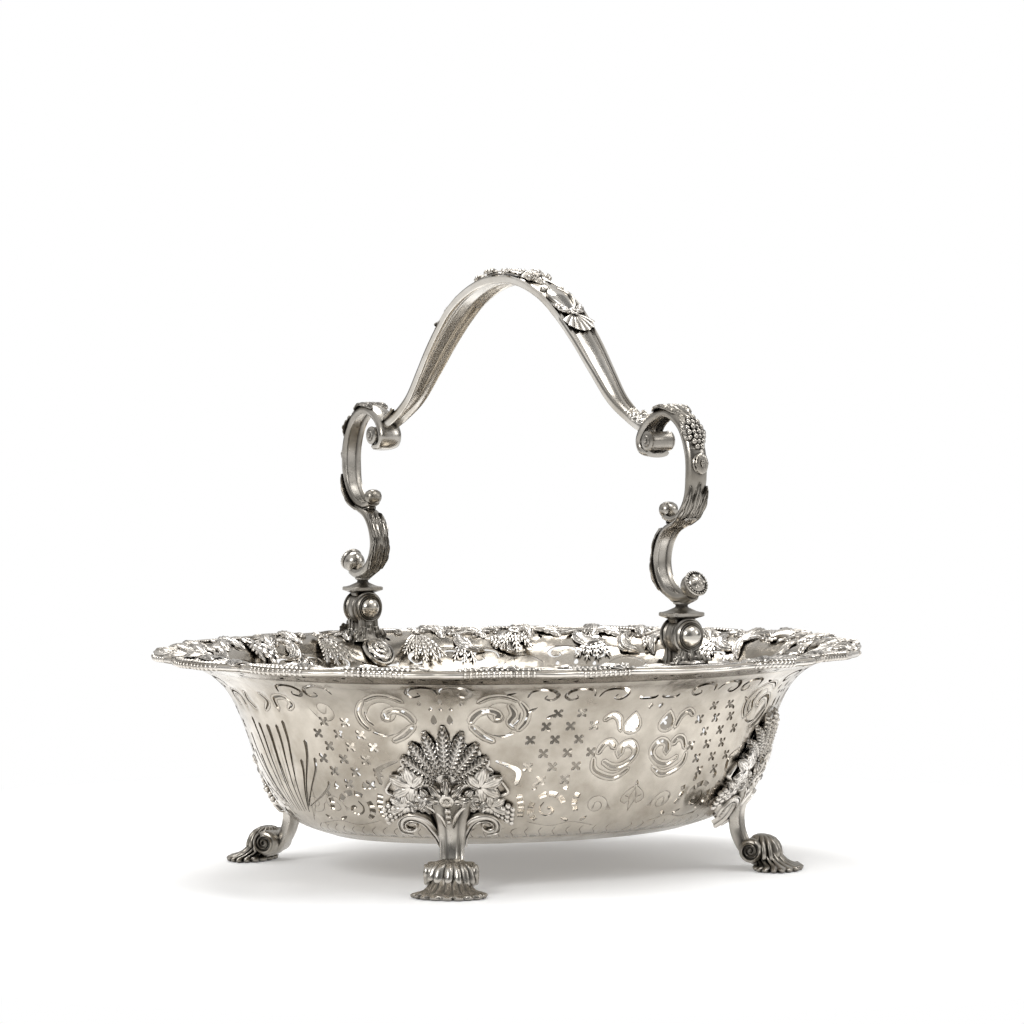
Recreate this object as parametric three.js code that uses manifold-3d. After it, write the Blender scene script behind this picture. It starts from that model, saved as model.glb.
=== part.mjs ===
// A swing-handled silver bread basket, in millimetres, +Z up.
// X runs along the long axis of the oval, Y along the short one through both hinges.
// The origin is the middle of the oval on the table, and the handle stands upright.
import * as THREE from "three";
import { mergeGeometries, mergeVertices } from "three/addons/utils/BufferGeometryUtils.js";
import Module from "manifold-3d";

// Driving dimensions of the bowl and its border
const RIM_LENGTH = 356;
const RIM_WIDTH = 306;
const BASE_HEIGHT = 19;
const BASE_LENGTH = 188;
const BOWL_DEPTH = 79;
const BORDER_OVERHANG = 20;
const WALL = 1;
const SEAT_GAP = 0.3;
// A flat facet cuts the corner of the curve it stands for by up to this much.
const FACET_SLACK = 0.34;

// Driving dimensions of the border casting
const BORDER_LAP = 6;
const BORDER_THICKNESS = 1.7;
const EDGE_ROLL = 4.4;
const LOBE_DEPTH = 4;

// Driving dimensions of the hinges
// The hinge's middle lies this far in from the rim's widest edge.
const HINGE_INSET = 17;
const PIVOT_RISE = 19.4;
const EAR_RADIUS = 8.4;
const KNUCKLE_WIDTH = 7.4;
const EAR_THICKNESS = 2.4;
const PIN_RADIUS = 2.2;
const RUNNING_FIT = 0.4;
const PIN_HEAD_RADIUS = 5;
const PIN_HEAD_DOME = 2.8;
const SADDLE_THICKNESS = 1.7;
const NECK_RADIUS = 2.8;
const NECK_HEIGHT = 6.1;

// Driving dimensions of the handle; the rises are measured from the pivot
const ARCH_RISE = 163.9;
const SHOULDER_RISE = 93.1;
const SHOULDER_INSET = 25.5;
const ARCH_WIDTH = 18;
const ARCH_THICKNESS = 4.6;
const LOWER_WIDTH = 8;
const LOWER_THICKNESS = 4;
const UPPER_WIDTH = 10.5;
const UPPER_THICKNESS = 4.2;
const KNOB_RADIUS = 6;
const VOLUTE_RADIUS = 3.6;
const ROLL_RADIUS = 5;
const ROLL_LENGTH = 17;

// Driving dimensions of a foot; it stands its stance out from the wall, along the wall's normal
const FOOT_ANGLE = 47;
const STANCE = 31.2;
const LEG_DRAW = 20.4;
const LEG_WIDTH = 12.2;
const LEG_THICKNESS = 5.6;
const ANKLE_RADIUS = 5;
const ANKLE_WIDTH = 20;
const PAD_WIDTH = 35;
const PAD_LENGTH = 24;
const PAD_THICKNESS = 1.6;
const PLAQUE_WIDTH = 58;
const PLAQUE_HEIGHT = 47;
const PLAQUE_THICKNESS = 1.5;
const PLAQUE_CLIMB = 31;

const wasm = await Module();
wasm.setup();

// Solids and booleans

// A bend can turn a mesh inside out; the sign of its volume tells, and the triangles are turned.
function outward(geometry) {
  const p = geometry.attributes.position;
  const index = geometry.index.array;
  const [a, b, c] = [new THREE.Vector3(), new THREE.Vector3(), new THREE.Vector3()];
  let volume = 0;
  for (let i = 0; i < index.length; i += 3) {
    a.fromBufferAttribute(p, index[i]);
    b.fromBufferAttribute(p, index[i + 1]);
    c.fromBufferAttribute(p, index[i + 2]);
    volume += a.dot(b.cross(c));
  }
  if (volume < 0) {
    for (let i = 0; i < index.length; i += 3) [index[i], index[i + 2]] = [index[i + 2], index[i]];
  }
  return geometry;
}

function solidOf(geometry) {
  const plain = geometry.clone();
  plain.deleteAttribute("normal");
  plain.deleteAttribute("uv");
  const merged = outward(mergeVertices(plain, 1e-4));
  return new wasm.Manifold(
    new wasm.Mesh({
      numProp: 3,
      vertProperties: merged.attributes.position.array,
      triVerts: new Uint32Array(merged.index.array),
    }),
  );
}

function geometryOf(solid) {
  const mesh = solid.getMesh();
  const position = new Float32Array(mesh.numVert * 3);
  for (let i = 0; i < mesh.numVert; i++) {
    position.set(mesh.vertProperties.subarray(i * mesh.numProp, i * mesh.numProp + 3), i * 3);
  }
  const geometry = new THREE.BufferGeometry();
  geometry.setAttribute("position", new THREE.BufferAttribute(position, 3));
  geometry.setIndex(new THREE.BufferAttribute(mesh.triVerts, 1));
  return geometry;
}

function unite(...geometries) {
  return geometryOf(geometries.map(solidOf).reduce((all, next) => all.add(next)));
}

function cut(geometry, ...cutters) {
  return geometryOf(cutters.reduce((body, cutter) => body.subtract(solidOf(cutter)), solidOf(geometry)));
}

function bare(geometry) {
  const plain = geometry.index ? geometry.toNonIndexed() : geometry.clone();
  plain.deleteAttribute("normal");
  plain.deleteAttribute("uv");
  return plain;
}

function together(geometries) {
  return mergeGeometries(geometries.map(bare));
}

// A skin through rings of points with the same count; the first and last rings are capped by the
// outline's own triangulation.
function skin(rings, outline) {
  const points = rings.flat();
  const count = rings[0].length;
  const index = [];
  const end = (rings.length - 1) * count;
  for (let ring = 0; ring < end; ring += count) {
    for (let k = 0; k < count; k++) {
      const a = ring + k;
      const b = ring + ((k + 1) % count);
      index.push(a, b, b + count, a, b + count, a + count);
    }
  }
  const turn = THREE.ShapeUtils.isClockWise(outline);
  for (const [a, p, q] of THREE.ShapeUtils.triangulateShape(outline, [])) {
    const [b, c] = turn ? [q, p] : [p, q];
    index.push(a, c, b, end + a, end + b, end + c);
  }
  const geometry = new THREE.BufferGeometry();
  geometry.setFromPoints(points);
  geometry.setIndex(index);
  return geometry;
}

const v2 = (x, y) => new THREE.Vector2(x, y);
const v3 = (x, y, z) => new THREE.Vector3(x, y, z);
const radians = THREE.MathUtils.degToRad;
const mix = THREE.MathUtils.lerp;

// A value read off a short list of stations between 0 and 1.
function along(stations, at) {
  let i = 1;
  while (i < stations.length - 1 && stations[i][0] < at) i++;
  const [x0, y0] = stations[i - 1];
  const [x1, y1] = stations[i];
  return mix(y0, y1, THREE.MathUtils.clamp((at - x0) / (x1 - x0), 0, 1));
}

// The form of the bowl

// Half the difference between the oval's two axes, the same at every height.
const OVAL = (RIM_LENGTH - RIM_WIDTH) / 2;
const LIP_REACH = RIM_LENGTH / 2 - BORDER_OVERHANG;
const BASE_REACH = BASE_LENGTH / 2;

// The wall's outer face: a round corner, a swelling belly, then the flare to the lip, as shares
// of the way out and up.
const BOWL_FORM = [
  [0, 0],
  [0.23, 0.066],
  [0.36, 0.158],
  [0.475, 0.304],
  [0.56, 0.468],
  [0.64, 0.652],
  [0.745, 0.835],
  [0.87, 0.944],
  [1, 1],
];
// The border's own sweep beyond the lip, as shares of its overhang.
const BORDER_FORM = [
  [0.4, 0.12],
  [0.75, 0.17],
  [1, 0.15],
];
const form = new THREE.SplineCurve([
  ...BOWL_FORM.map(([out, up]) => v2(mix(BASE_REACH, LIP_REACH, out), BASE_HEIGHT + BOWL_DEPTH * up)),
  ...BORDER_FORM.map(([out, up]) =>
    v2(LIP_REACH + BORDER_OVERHANG * out, BASE_HEIGHT + BOWL_DEPTH + BORDER_OVERHANG * up),
  ),
]);
form.arcLengthDivisions = 400;
const FORM_LENGTH = form.getLength();

// How far up the form, measured along it, something is met that grows along the whole form.
function climbTo(value, of) {
  let low = 0;
  let high = 1;
  for (let i = 0; i < 40; i++) {
    const middle = (low + high) / 2;
    if (of(form.getPointAt(middle)) < value) low = middle;
    else high = middle;
  }
  return low * FORM_LENGTH;
}
const LIP_CLIMB = climbTo(LIP_REACH, (p) => p.x);
const EDGE_CLIMB = FORM_LENGTH;

// A point of the bowl's surface at an angle round the oval and a climb up from the base's edge,
// moved outwards along the surface's normal.
function surface(angle, climb, outwards = 0) {
  const share = THREE.MathUtils.clamp(climb / FORM_LENGTH, 0, 1);
  const p = form.getPointAt(share);
  const slope = form.getTangentAt(share);
  const c = Math.cos(angle);
  const s = Math.sin(angle);
  const past = climb - share * FORM_LENGTH;
  const reach = p.x + past * slope.x;
  const point = v3(reach * c, (reach - OVAL) * s, p.y + past * slope.y);
  const round = v3(-reach * s, (reach - OVAL) * c, 0);
  const up = v3(slope.x * c, slope.x * s, slope.y);
  return point.addScaledVector(round.cross(up).normalize(), outwards);
}

function speed(angle, climb) {
  const reach = form.getPointAt(THREE.MathUtils.clamp(climb / FORM_LENGTH, 0, 1)).x;
  return Math.hypot(reach * Math.sin(angle), (reach - OVAL) * Math.cos(angle));
}

// Bends a flat relief, x round the oval, y up the wall, z away from it, onto the wall's outer face.
function onOutside(geometry, angle, climb, standoff) {
  const bent = bare(geometry);
  const p = bent.attributes.position;
  for (let i = 0; i < p.count; i++) {
    const height = climb + p.getY(i);
    const at = surface(angle + p.getX(i) / speed(angle, height), height, standoff + p.getZ(i));
    p.setXYZ(i, at.x, at.y, at.z);
  }
  return mergeVertices(bent, 1e-4);
}

// The same on the upper, inner face, over the sheet.
function onInside(geometry, angle, climb, standoff) {
  const bent = bare(geometry);
  const p = bent.attributes.position;
  for (let i = 0; i < p.count; i++) {
    const height = climb + p.getY(i);
    const lift = WALL + standoff + p.getZ(i);
    const at = surface(angle - p.getX(i) / speed(angle, height), height, -lift);
    p.setXYZ(i, at.x, at.y, at.z);
  }
  return mergeVertices(bent, 1e-4);
}

// The pierced bowl

// The bowl and its border share their facets round the oval, so that they stay parallel.
const ROUND_STEPS = 40;
const ROUND_STEP = 360 / ROUND_STEPS;
// Shares of the way up to the lip; they crowd where the wall turns.
const WALL_STATIONS = [0, 0.15, 0.33, 0.62, 0.84, 0.92, 1];

function bowlShell() {
  const ringAt = (climb, outwards) =>
    Array.from({ length: ROUND_STEPS }, (_, k) => surface((k / ROUND_STEPS) * 2 * Math.PI, climb, outwards));
  const outer = WALL_STATIONS.map((share) => ringAt(share * LIP_CLIMB, 0));
  const inner = WALL_STATIONS.map((share) => ringAt(share * LIP_CLIMB, -WALL)).reverse();
  // The flat base is closed by a fan at its middle, once under and once over the sheet.
  const rings = [...outer, ...inner];
  const points = rings.flat();
  const index = [];
  for (let i = 0; i < rings.length - 1; i++) {
    for (let k = 0; k < ROUND_STEPS; k++) {
      const a = i * ROUND_STEPS + k;
      const b = i * ROUND_STEPS + ((k + 1) % ROUND_STEPS);
      index.push(a, b, b + ROUND_STEPS, a, b + ROUND_STEPS, a + ROUND_STEPS);
    }
  }
  const under = points.push(v3(0, 0, outer[0][0].z)) - 1;
  const over = points.push(v3(0, 0, inner.at(-1)[0].z)) - 1;
  const top = (rings.length - 1) * ROUND_STEPS;
  for (let k = 0; k < ROUND_STEPS; k++) {
    const next = (k + 1) % ROUND_STEPS;
    index.push(under, next, k, over, top + k, top + next);
  }
  const geometry = new THREE.BufferGeometry();
  geometry.setFromPoints(points);
  geometry.setIndex(index);
  return geometry;
}

// Openings are drawn flat, x towards the hinge and y up the wall, laid on the wall and cut
// through it in one direction.
const PIERCE_REACH = 4;
const upWall = (share) => share * LIP_CLIMB;

function pierce(points, degrees, climb) {
  const angle = radians(degrees);
  const away = surface(angle, climb, PIERCE_REACH).sub(surface(angle, climb));
  const outline = THREE.ShapeUtils.isClockWise(points) ? points.toReversed() : points;
  const face = outline.map(({ x, y }) => surface(angle + x / speed(angle, climb + y), climb + y));
  const moved = (by) => face.map((point) => point.clone().addScaledVector(away, by));
  return skin([moved(1), moved(-1.3)], outline);
}

const crossCut = (size) =>
  Array.from({ length: 8 }, (_, k) => {
    const r = k % 2 ? size * 0.34 : size;
    return v2(r * Math.sin((k * Math.PI) / 4), r * Math.cos((k * Math.PI) / 4));
  });

const dropCut = (length, width, lean) =>
  [
    [0, -0.5],
    [0.42, -0.22],
    [0.5, 0.1],
    [0, 0.5],
    [-0.5, 0.1],
    [-0.42, -0.22],
  ].map(([x, y]) => v2(x * width, y * length).rotateAround(v2(0, 0), radians(lean)));

// A C-scroll slot: a crescent round part of a circle, thin at its tail.
function scrollCut(radius, width, from, to) {
  const steps = 3;
  const outer = [];
  const inner = [];
  for (let k = 0; k <= steps; k++) {
    const a = radians(mix(from, to, k / steps));
    const half = (width / 2) * mix(0.35, 1, Math.sin((Math.PI * (k + 0.6)) / (steps + 1.2)));
    outer.push(v2((radius + half) * Math.cos(a), (radius + half) * Math.sin(a)));
    inner.push(v2((radius - half) * Math.cos(a), (radius - half) * Math.sin(a)));
  }
  return [...outer, ...inner.reverse()];
}

// One quarter's openings, from the end of the oval at 0 degrees to the hinge at 90.
function quarterCuts() {
  const cuts = [];
  // The palmette of long drops that fans up from the base at each end.
  const PALMETTE = [
    [3.6, 0.41, 20, 5],
    [8.8, 0.355, 18, 17],
    [13.4, 0.26, 15, 36],
  ];
  for (const [at, share, length, lean] of PALMETTE) {
    cuts.push(pierce(dropCut(length, 2.8, -lean), at, upWall(share)));
  }
  // The volutes over the palmette and either side of the head of the foot's plaque.
  cuts.push(pierce(scrollCut(7.5, 2.6, 60, 250), 12, upWall(0.635)));
  cuts.push(pierce(scrollCut(8, 2.8, 80, 290), FOOT_ANGLE - 13.5, upWall(0.737)));
  cuts.push(pierce(scrollCut(8, 2.8, -110, 100), FOOT_ANGLE + 11.5, upWall(0.737)));
  cuts.push(pierce(dropCut(7, 3, 0), FOOT_ANGLE, upWall(0.82)));
  // Diapers of small crosses, staggered.
  const DIAPERS = [
    { from: 22, to: 28, columns: 2, low: 0.317, high: 0.401, rows: 2 },
    { from: 66, to: 76, columns: 3, low: 0.383, high: 0.485, rows: 2 },
  ];
  for (const { from, to, columns, low, high, rows } of DIAPERS) {
    for (let row = 0; row < rows; row++) {
      for (let column = 0; column < columns - (row % 2); column++) {
        const at = from + ((column + (row % 2) / 2) * (to - from)) / (columns - 1);
        cuts.push(pierce(crossCut(2.7), at, upWall(mix(low, high, row / (rows - 1)))));
      }
    }
  }
  // A snail along the foot of the side, and the scroll and drop that stand by the hinge.
  cuts.push(pierce(scrollCut(6, 2.4, -60, 200), 70, upWall(0.233)));
  cuts.push(pierce(scrollCut(7.5, 2.6, 120, 330), 82.5, upWall(0.541)));
  cuts.push(pierce(dropCut(9, 5.5, 10), 85.5, upWall(0.728)));
  return together(cuts);
}

// A copy of something in the quarter of +X and +Y, mirrored into another quarter.
function mirrored(geometry, sx, sy) {
  const copy = geometry.index ? geometry.toNonIndexed() : geometry.clone();
  const p = copy.attributes.position;
  for (let i = 0; i < p.count; i++) p.setXYZ(i, p.getX(i) * sx, p.getY(i) * sy, p.getZ(i));
  if (sx * sy < 0) {
    for (let i = 0; i < p.count; i += 3) {
      const [x, y, z] = [p.getX(i), p.getY(i), p.getZ(i)];
      p.setXYZ(i, p.getX(i + 2), p.getY(i + 2), p.getZ(i + 2));
      p.setXYZ(i + 2, x, y, z);
    }
  }
  return mergeVertices(copy, 1e-4);
}

const QUARTERS = [
  ["front_left", -1, -1],
  ["front_right", 1, -1],
  ["back_left", -1, 1],
  ["back_right", 1, 1],
];

function piercedBowl() {
  const quarter = quarterCuts();
  return cut(bowlShell(), together(QUARTERS.map(([, sx, sy]) => mirrored(quarter, sx, sy))));
}

// The cast border

// Where the edge's lobes meet, in degrees from the end of the oval to the hinge.
const LOBES = [-12, 12, 36, 60, 78, 102];
// How much deeper the border's inner edge hangs into the bowl, at which degrees and how wide.
const DIPS = [
  [0, 7, 11],
  [33, 5, 8],
  [60, 5, 8],
  [90, 12, 11],
];

// The angle folded into the quarter between the oval's end and the hinge.
const folded = (angle) => THREE.MathUtils.radToDeg(Math.abs(Math.asin(Math.sin(angle))));

function lobeInset(angle) {
  const at = folded(angle);
  const i = LOBES.findIndex((edge, k) => at >= edge && at < LOBES[k + 1]);
  const share = (at - LOBES[i]) / (LOBES[i + 1] - LOBES[i]);
  return LOBE_DEPTH * (1 - Math.pow(Math.sin(Math.PI * share), 0.6));
}

function borderLap(angle) {
  const at = folded(angle);
  return DIPS.reduce((lap, [middle, depth, half]) => {
    const away = Math.min(Math.abs(at - middle) / half, 1);
    return lap + depth * Math.cos((away * Math.PI) / 2) ** 2;
  }, BORDER_LAP);
}

const BORDER_SEAT = SEAT_GAP + FACET_SLACK;
const BORDER_TOP = BORDER_SEAT + BORDER_THICKNESS;

// The border's section as pairs of climb and height over the sheet's upper face; a cutter for
// what stands on it is grown upwards and reaches deeper down.
function borderSection(angle, grow = 0, depth = 0) {
  const edge = EDGE_CLIMB - lobeInset(angle);
  const lap = borderLap(angle) + grow;
  const low = BORDER_SEAT - depth;
  const top = BORDER_TOP + grow;
  const under = [1, 0.66, 0.33, 0].map((share) => [LIP_CLIMB - lap * share, low]);
  return [
    ...under,
    [LIP_CLIMB + 7, low],
    [edge - EDGE_ROLL, low],
    [edge - 1, low - 0.8],
    [edge + grow, 1 - depth / 2],
    [edge - 1.8 + grow, EDGE_ROLL * 0.8 + grow],
    [edge - EDGE_ROLL, top],
    [LIP_CLIMB + 5, top],
    [LIP_CLIMB - lap * 0.2, top],
    [LIP_CLIMB - lap * 0.6, top],
    [LIP_CLIMB - lap, top - 0.3],
  ];
}

function borderBand(from, to, grow = 0, depth = 0) {
  const angles = [from];
  for (let at = Math.ceil(from / ROUND_STEP) * ROUND_STEP; at < to; at += ROUND_STEP) {
    if (at > from) angles.push(at);
  }
  const rings = [...angles, to].map((degrees) => {
    const angle = radians(degrees);
    return borderSection(angle, grow, depth).map(([climb, lift]) => surface(angle, climb, -WALL - lift));
  });
  return skin(rings, rings[0].map((point) => v2(Math.hypot(point.x, point.y), point.z)));
}

// Half the joint between two border castings, in degrees.
const JOINT = 0.08;
const SIDE_FROM = 36;

// The openwork of the border, in degrees from the end of the oval, its climb past the lip, its
// length, its width and its lean.
const OPENWORK = [
  [9, 8, 9, 3.6, 70],
  [22, 8, 10, 3.6, 96],
  [43, 8, 11, 3.8, 84],
  [54, 8, 9, 3.6, 98],
  [74, 8, 11, 3.8, 90],
];

function openwork(keep) {
  const drops = OPENWORK.filter(([at]) => keep(at)).map(([at, past, length, width, lean]) =>
    pierce(dropCut(length, width, lean), at, LIP_CLIMB + past),
  );
  return together(drops);
}

const sideOpenings = openwork((at) => at > SIDE_FROM);
const endOpenings = openwork((at) => at < SIDE_FROM);
const sideBand = borderBand(SIDE_FROM + JOINT, 180 - SIDE_FROM - JOINT);
const endBand = borderBand(-SIDE_FROM + JOINT, SIDE_FROM - JOINT);
const sideBorder = cut(sideBand, together([sideOpenings, mirrored(sideOpenings, -1, 1)]));
const endBorder = cut(endBand, together([endOpenings, mirrored(endOpenings, 1, -1)]));

// Reliefs, each drawn flat with its back at z = 0

// How far a relief's back is sunk below the face of the plate that carries it.
const SUNK = 0.7;

// A leaf, petal or ear of corn: a ridge that points along +Y from its root at the origin.
function leaf(length, width, height, root = 0.35) {
  const rings = [
    [0, root],
    [0.45, 1],
    [1, 0.14],
  ].map(([at, size]) => [
    v3((-width / 2) * size, length * at, 0),
    v3(0, length * at, height * Math.max(size, 0.4)),
    v3((width / 2) * size, length * at, 0),
  ]);
  return skin(rings, [v2(-1, 0), v2(0, 1), v2(1, 0)]);
}

// A round button with a domed top.
function button(radius, height, sides = 6) {
  const rings = [
    [1, 0],
    [0.55, 1],
  ].map(([out, up]) =>
    Array.from({ length: sides }, (_, k) => {
      const a = (k / sides) * 2 * Math.PI;
      return v3(radius * out * Math.cos(a), radius * out * Math.sin(a), height * up);
    }),
  );
  return skin(rings, rings[0].map((p) => v2(p.x, p.y)));
}

// A fan of ears, ribs or petals over a spread to either side of +Y. Each runs out from the root to
// its tip, high along its middle, with a valley before the next; a fan of 180 closes on itself.
function fan(count, spread, reachAt, height, valley, edge) {
  const whole = spread >= 180;
  const step = whole ? 360 / count : (2 * spread) / (count - 1);
  const point = (lean, reach, z) => v3(reach * Math.sin(radians(lean)), reach * Math.cos(radians(lean)), z);
  const rim = whole ? [] : [[0, 0]];
  const ridges = [];
  for (let k = 0; k < count; k++) {
    const lean = whole ? k * step : mix(-spread, spread, k / (count - 1));
    rim.push([lean - step / 2, reachAt(lean - step / 2) * valley], [lean, reachAt(lean)]);
    ridges.push(point(lean, reachAt(lean) * 0.55, height));
  }
  if (!whole) rim.push([spread + step / 2, reachAt(spread + step / 2) * valley]);
  const n = rim.length;
  const points = [
    ...rim.map(([lean, reach]) => point(lean, reach, edge)),
    ...rim.map(([lean, reach]) => point(lean, reach, 0)),
    ...ridges,
    v3(0, 0, height * 0.8),
    v3(0, 0, 0),
  ];
  // The root is the rim's own first point where the fan is open, and a middle of its own where not.
  const top = whole ? points.length - 2 : 0;
  const bottom = whole ? points.length - 1 : n;
  const first = whole ? 0 : 1;
  const index = [];
  for (let k = 0; k < count; k++) {
    const a = first + 2 * k;
    const c = (a + 2) % n;
    const ridge = 2 * n + k;
    index.push(top, a, ridge, a, a + 1, ridge, a + 1, c, ridge, c, top, ridge);
  }
  for (let i = 0; i < n; i++) {
    const next = (i + 1) % n;
    index.push(i, n + i, n + next, i, n + next, next);
    if (n + i !== bottom && n + next !== bottom) index.push(bottom, n + next, n + i);
  }
  const geometry = new THREE.BufferGeometry();
  geometry.setFromPoints(points.slice(0, whole ? points.length : points.length - 2));
  geometry.setIndex(index);
  return geometry;
}

// A spray of corn ears, the middle one the longest, turned to hang from its tie.
const wheatSpray = (ears, spread, length) => {
  const reachAt = (lean) => length * mix(1, 0.84, Math.abs(lean) / spread);
  return [fan(ears, spread, reachAt, 2.4, 0.62, 0.9).rotateZ(Math.PI)];
};

// A rosette of petals round a button.
const rosette = (radius, petals, height) => [
  fan(petals, 180, () => radius, height * 0.7, 0.66, height * 0.3),
  button(radius * 0.42, height * 0.8).translate(0, 0, height * 0.2),
];

// A scallop shell: ribs fanned from its hinge over a half round.
const scallop = (radius, ribs, height) => [fan(ribs, 78, () => radius, height, 0.88, height * 0.35)];

// A side scroll: a ridge that runs round part of a circle.
function ridgeScroll(radius, width, height, from, to) {
  const steps = 3;
  const rings = [];
  for (let k = 0; k <= steps; k++) {
    const a = radians(mix(from, to, k / steps));
    const half = (width / 2) * mix(1, 0.6, k / steps);
    const at = (r, z) => v3(r * Math.cos(a), r * Math.sin(a), z);
    rings.push([at(radius + half, 0), at(radius, height), at(radius - half, 0)]);
  }
  return skin(rings, [v2(1, 0), v2(0, 1), v2(-1, 0)]);
}

// Every relief is bent before its parts are joined, so that each follows what it lies on.
const onWall = (parts, degrees, climb) =>
  unite(...parts.map((part) => onOutside(part, radians(degrees), climb, SEAT_GAP + FACET_SLACK)));
const TRIM_SEAT = BORDER_TOP + SEAT_GAP + 2 * FACET_SLACK;
const onBorder = (parts, degrees, climb) =>
  unite(...parts.map((part) => onInside(part, radians(degrees), climb, TRIM_SEAT)));

// The pieces applied to the border

const hingeRoundel = onBorder(rosette(7, 6, 2.6), 90, LIP_CLIMB - 11);
const hingeSpray = onBorder(wheatSpray(5, 40, 13), 79.5, LIP_CLIMB + 1);
const sideSpray = onBorder(wheatSpray(5, 44, 12), 60, LIP_CLIMB + 2.5);
const endShell = onBorder(scallop(11, 5, 3), 0, LIP_CLIMB + 2);

// The feet, in a frame whose +Y points outwards from the pad's middle

const footAngle = radians(FOOT_ANGLE);
const baseReach = mix(BASE_REACH, LIP_REACH, BOWL_FORM[1][0]);
const footOut = Math.atan2(Math.sin(footAngle) / (baseReach - OVAL), Math.cos(footAngle) / baseReach);
const footHeel = v2(baseReach * Math.cos(footAngle), (baseReach - OVAL) * Math.sin(footAngle));
const footMiddle = v2(STANCE, 0).rotateAround(v2(0, 0), footOut).add(footHeel);
const toFoot = (geometry) =>
  geometry.rotateZ(footOut - Math.PI / 2).translate(footMiddle.x, footMiddle.y, 0);

// Where the wall's face stands in that frame, at a climb, as a pair of Y and Z.
function wallAt(climb, outwards) {
  const p = surface(footAngle, climb, outwards);
  return [(p.x - footMiddle.x) * Math.cos(footOut) + (p.y - footMiddle.y) * Math.sin(footOut), p.z];
}

// A band in the plane of Y and Z, wide along X. Its form is a section as shares of width and
// thickness; the stations give both along the way.
function band(path, section, widths, thicknesses, steps, grow = 0) {
  const curve = new THREE.SplineCurve(path.map(([y, z]) => v2(y, z)));
  const rings = [];
  for (let i = 0; i <= steps; i++) {
    const at = i / steps;
    const way = curve.getTangentAt(at);
    const past = i === 0 ? -grow : i === steps ? grow : 0;
    const p = curve.getPointAt(at).addScaledVector(way, past);
    const width = along(widths, at) + 2 * grow;
    const thickness = along(thicknesses, at) + 2 * grow;
    rings.push(
      section.map(([x, n]) => v3(x * width, p.x - way.y * n * thickness, p.y + way.x * n * thickness)),
    );
  }
  return skin(rings, section.map(([x, n]) => v2(x, n)));
}

// Sections, in shares: n grows to the left of the path's way.
const HOLLOW_BACK = [
  [-0.5, -0.5],
  [0, -0.24],
  [0.5, -0.5],
  [0.5, 0.26],
  [0.34, 0.5],
  [0, 0.3],
  [-0.34, 0.5],
  [-0.5, 0.26],
];
const HOLLOW_FRONT = HOLLOW_BACK.map(([x, n]) => [-x, -n]);

// A roll across the band, along X, with domed ends.
function roll(radius, length, dome, y, z, sides = 10) {
  const end = length / 2;
  const profile = [
    [0, -end - dome],
    [radius * 0.7, -end - dome * 0.6],
    [radius, -end],
    [radius, end],
    [radius * 0.7, end + dome * 0.6],
    [0, end + dome],
  ];
  const lathe = new THREE.LatheGeometry(profile.map(([x, h]) => v2(x, h)), sides);
  return lathe.rotateZ(Math.PI / 2).translate(0, y, z);
}

// The leg's way down: off the wall behind the plaque, in under the bowl and out to the ankle.
const ANKLE = { y: -8.2, z: 9.6 };
const LEG_PATH = [
  wallAt(PLAQUE_CLIMB + 15, 0.3),
  wallAt(PLAQUE_CLIMB + 6, 1.4),
  [-LEG_DRAW, BASE_HEIGHT + 9],
  [-LEG_DRAW + 1.8, BASE_HEIGHT + 1],
  [ANKLE.y - 5.8, ANKLE.z + 3.6],
  [ANKLE.y, ANKLE.z - 0.6],
];

// The room that the leg takes out of the plaque, with all behind it to the wall.
function legRoom() {
  const front = LEG_THICKNESS * 0.6 + SEAT_GAP;
  const back = LEG_DRAW + LEG_THICKNESS;
  const [[topY, topZ], ...rest] = LEG_PATH.slice(0, 4);
  const head = [[topY, topZ + LEG_THICKNESS / 2], ...rest];
  const behind = head.map(([y, z]) => v2(y - back, z)).reverse();
  const width = LEG_WIDTH + 2 * SEAT_GAP;
  const outline = new THREE.Shape([...head.map(([y, z]) => v2(y + front, z)), ...behind]);
  const block = new THREE.ExtrudeGeometry(outline, { depth: width, bevelEnabled: false });
  return block.rotateX(Math.PI / 2).rotateZ(Math.PI / 2).translate(-width / 2, 0, 0);
}

function legBand(grow) {
  const widths = [
    [0, LEG_WIDTH * 0.86],
    [0.3, LEG_WIDTH],
    [0.8, LEG_WIDTH * 0.94],
    [1, LEG_WIDTH],
  ];
  const thicknesses = [
    [0, LEG_THICKNESS * 0.6],
    [0.3, LEG_THICKNESS],
    [1, LEG_THICKNESS],
  ];
  return band(LEG_PATH, HOLLOW_BACK, widths, thicknesses, 6, grow);
}

// The pad: a scalloped leaf, flat beneath, with ribs that run out to the tips of its lobes.
const PAD_LOBES = 5;
function pad() {
  const outline = [v2(-ANKLE_WIDTH * 0.36, -PAD_LENGTH / 2), v2(ANKLE_WIDTH * 0.36, -PAD_LENGTH / 2)];
  const steps = PAD_LOBES * 2;
  for (let k = 0; k <= steps; k++) {
    const a = radians(mix(-42, 222, k / steps));
    const r = k % 2 ? 0.5 : 0.455;
    outline.push(v2(PAD_WIDTH * r * Math.cos(a), PAD_LENGTH * (r * Math.sin(a) + 0.02)));
  }
  const plate = { depth: PAD_THICKNESS, bevelEnabled: false };
  return new THREE.ExtrudeGeometry(new THREE.Shape(outline), plate);
}

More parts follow.
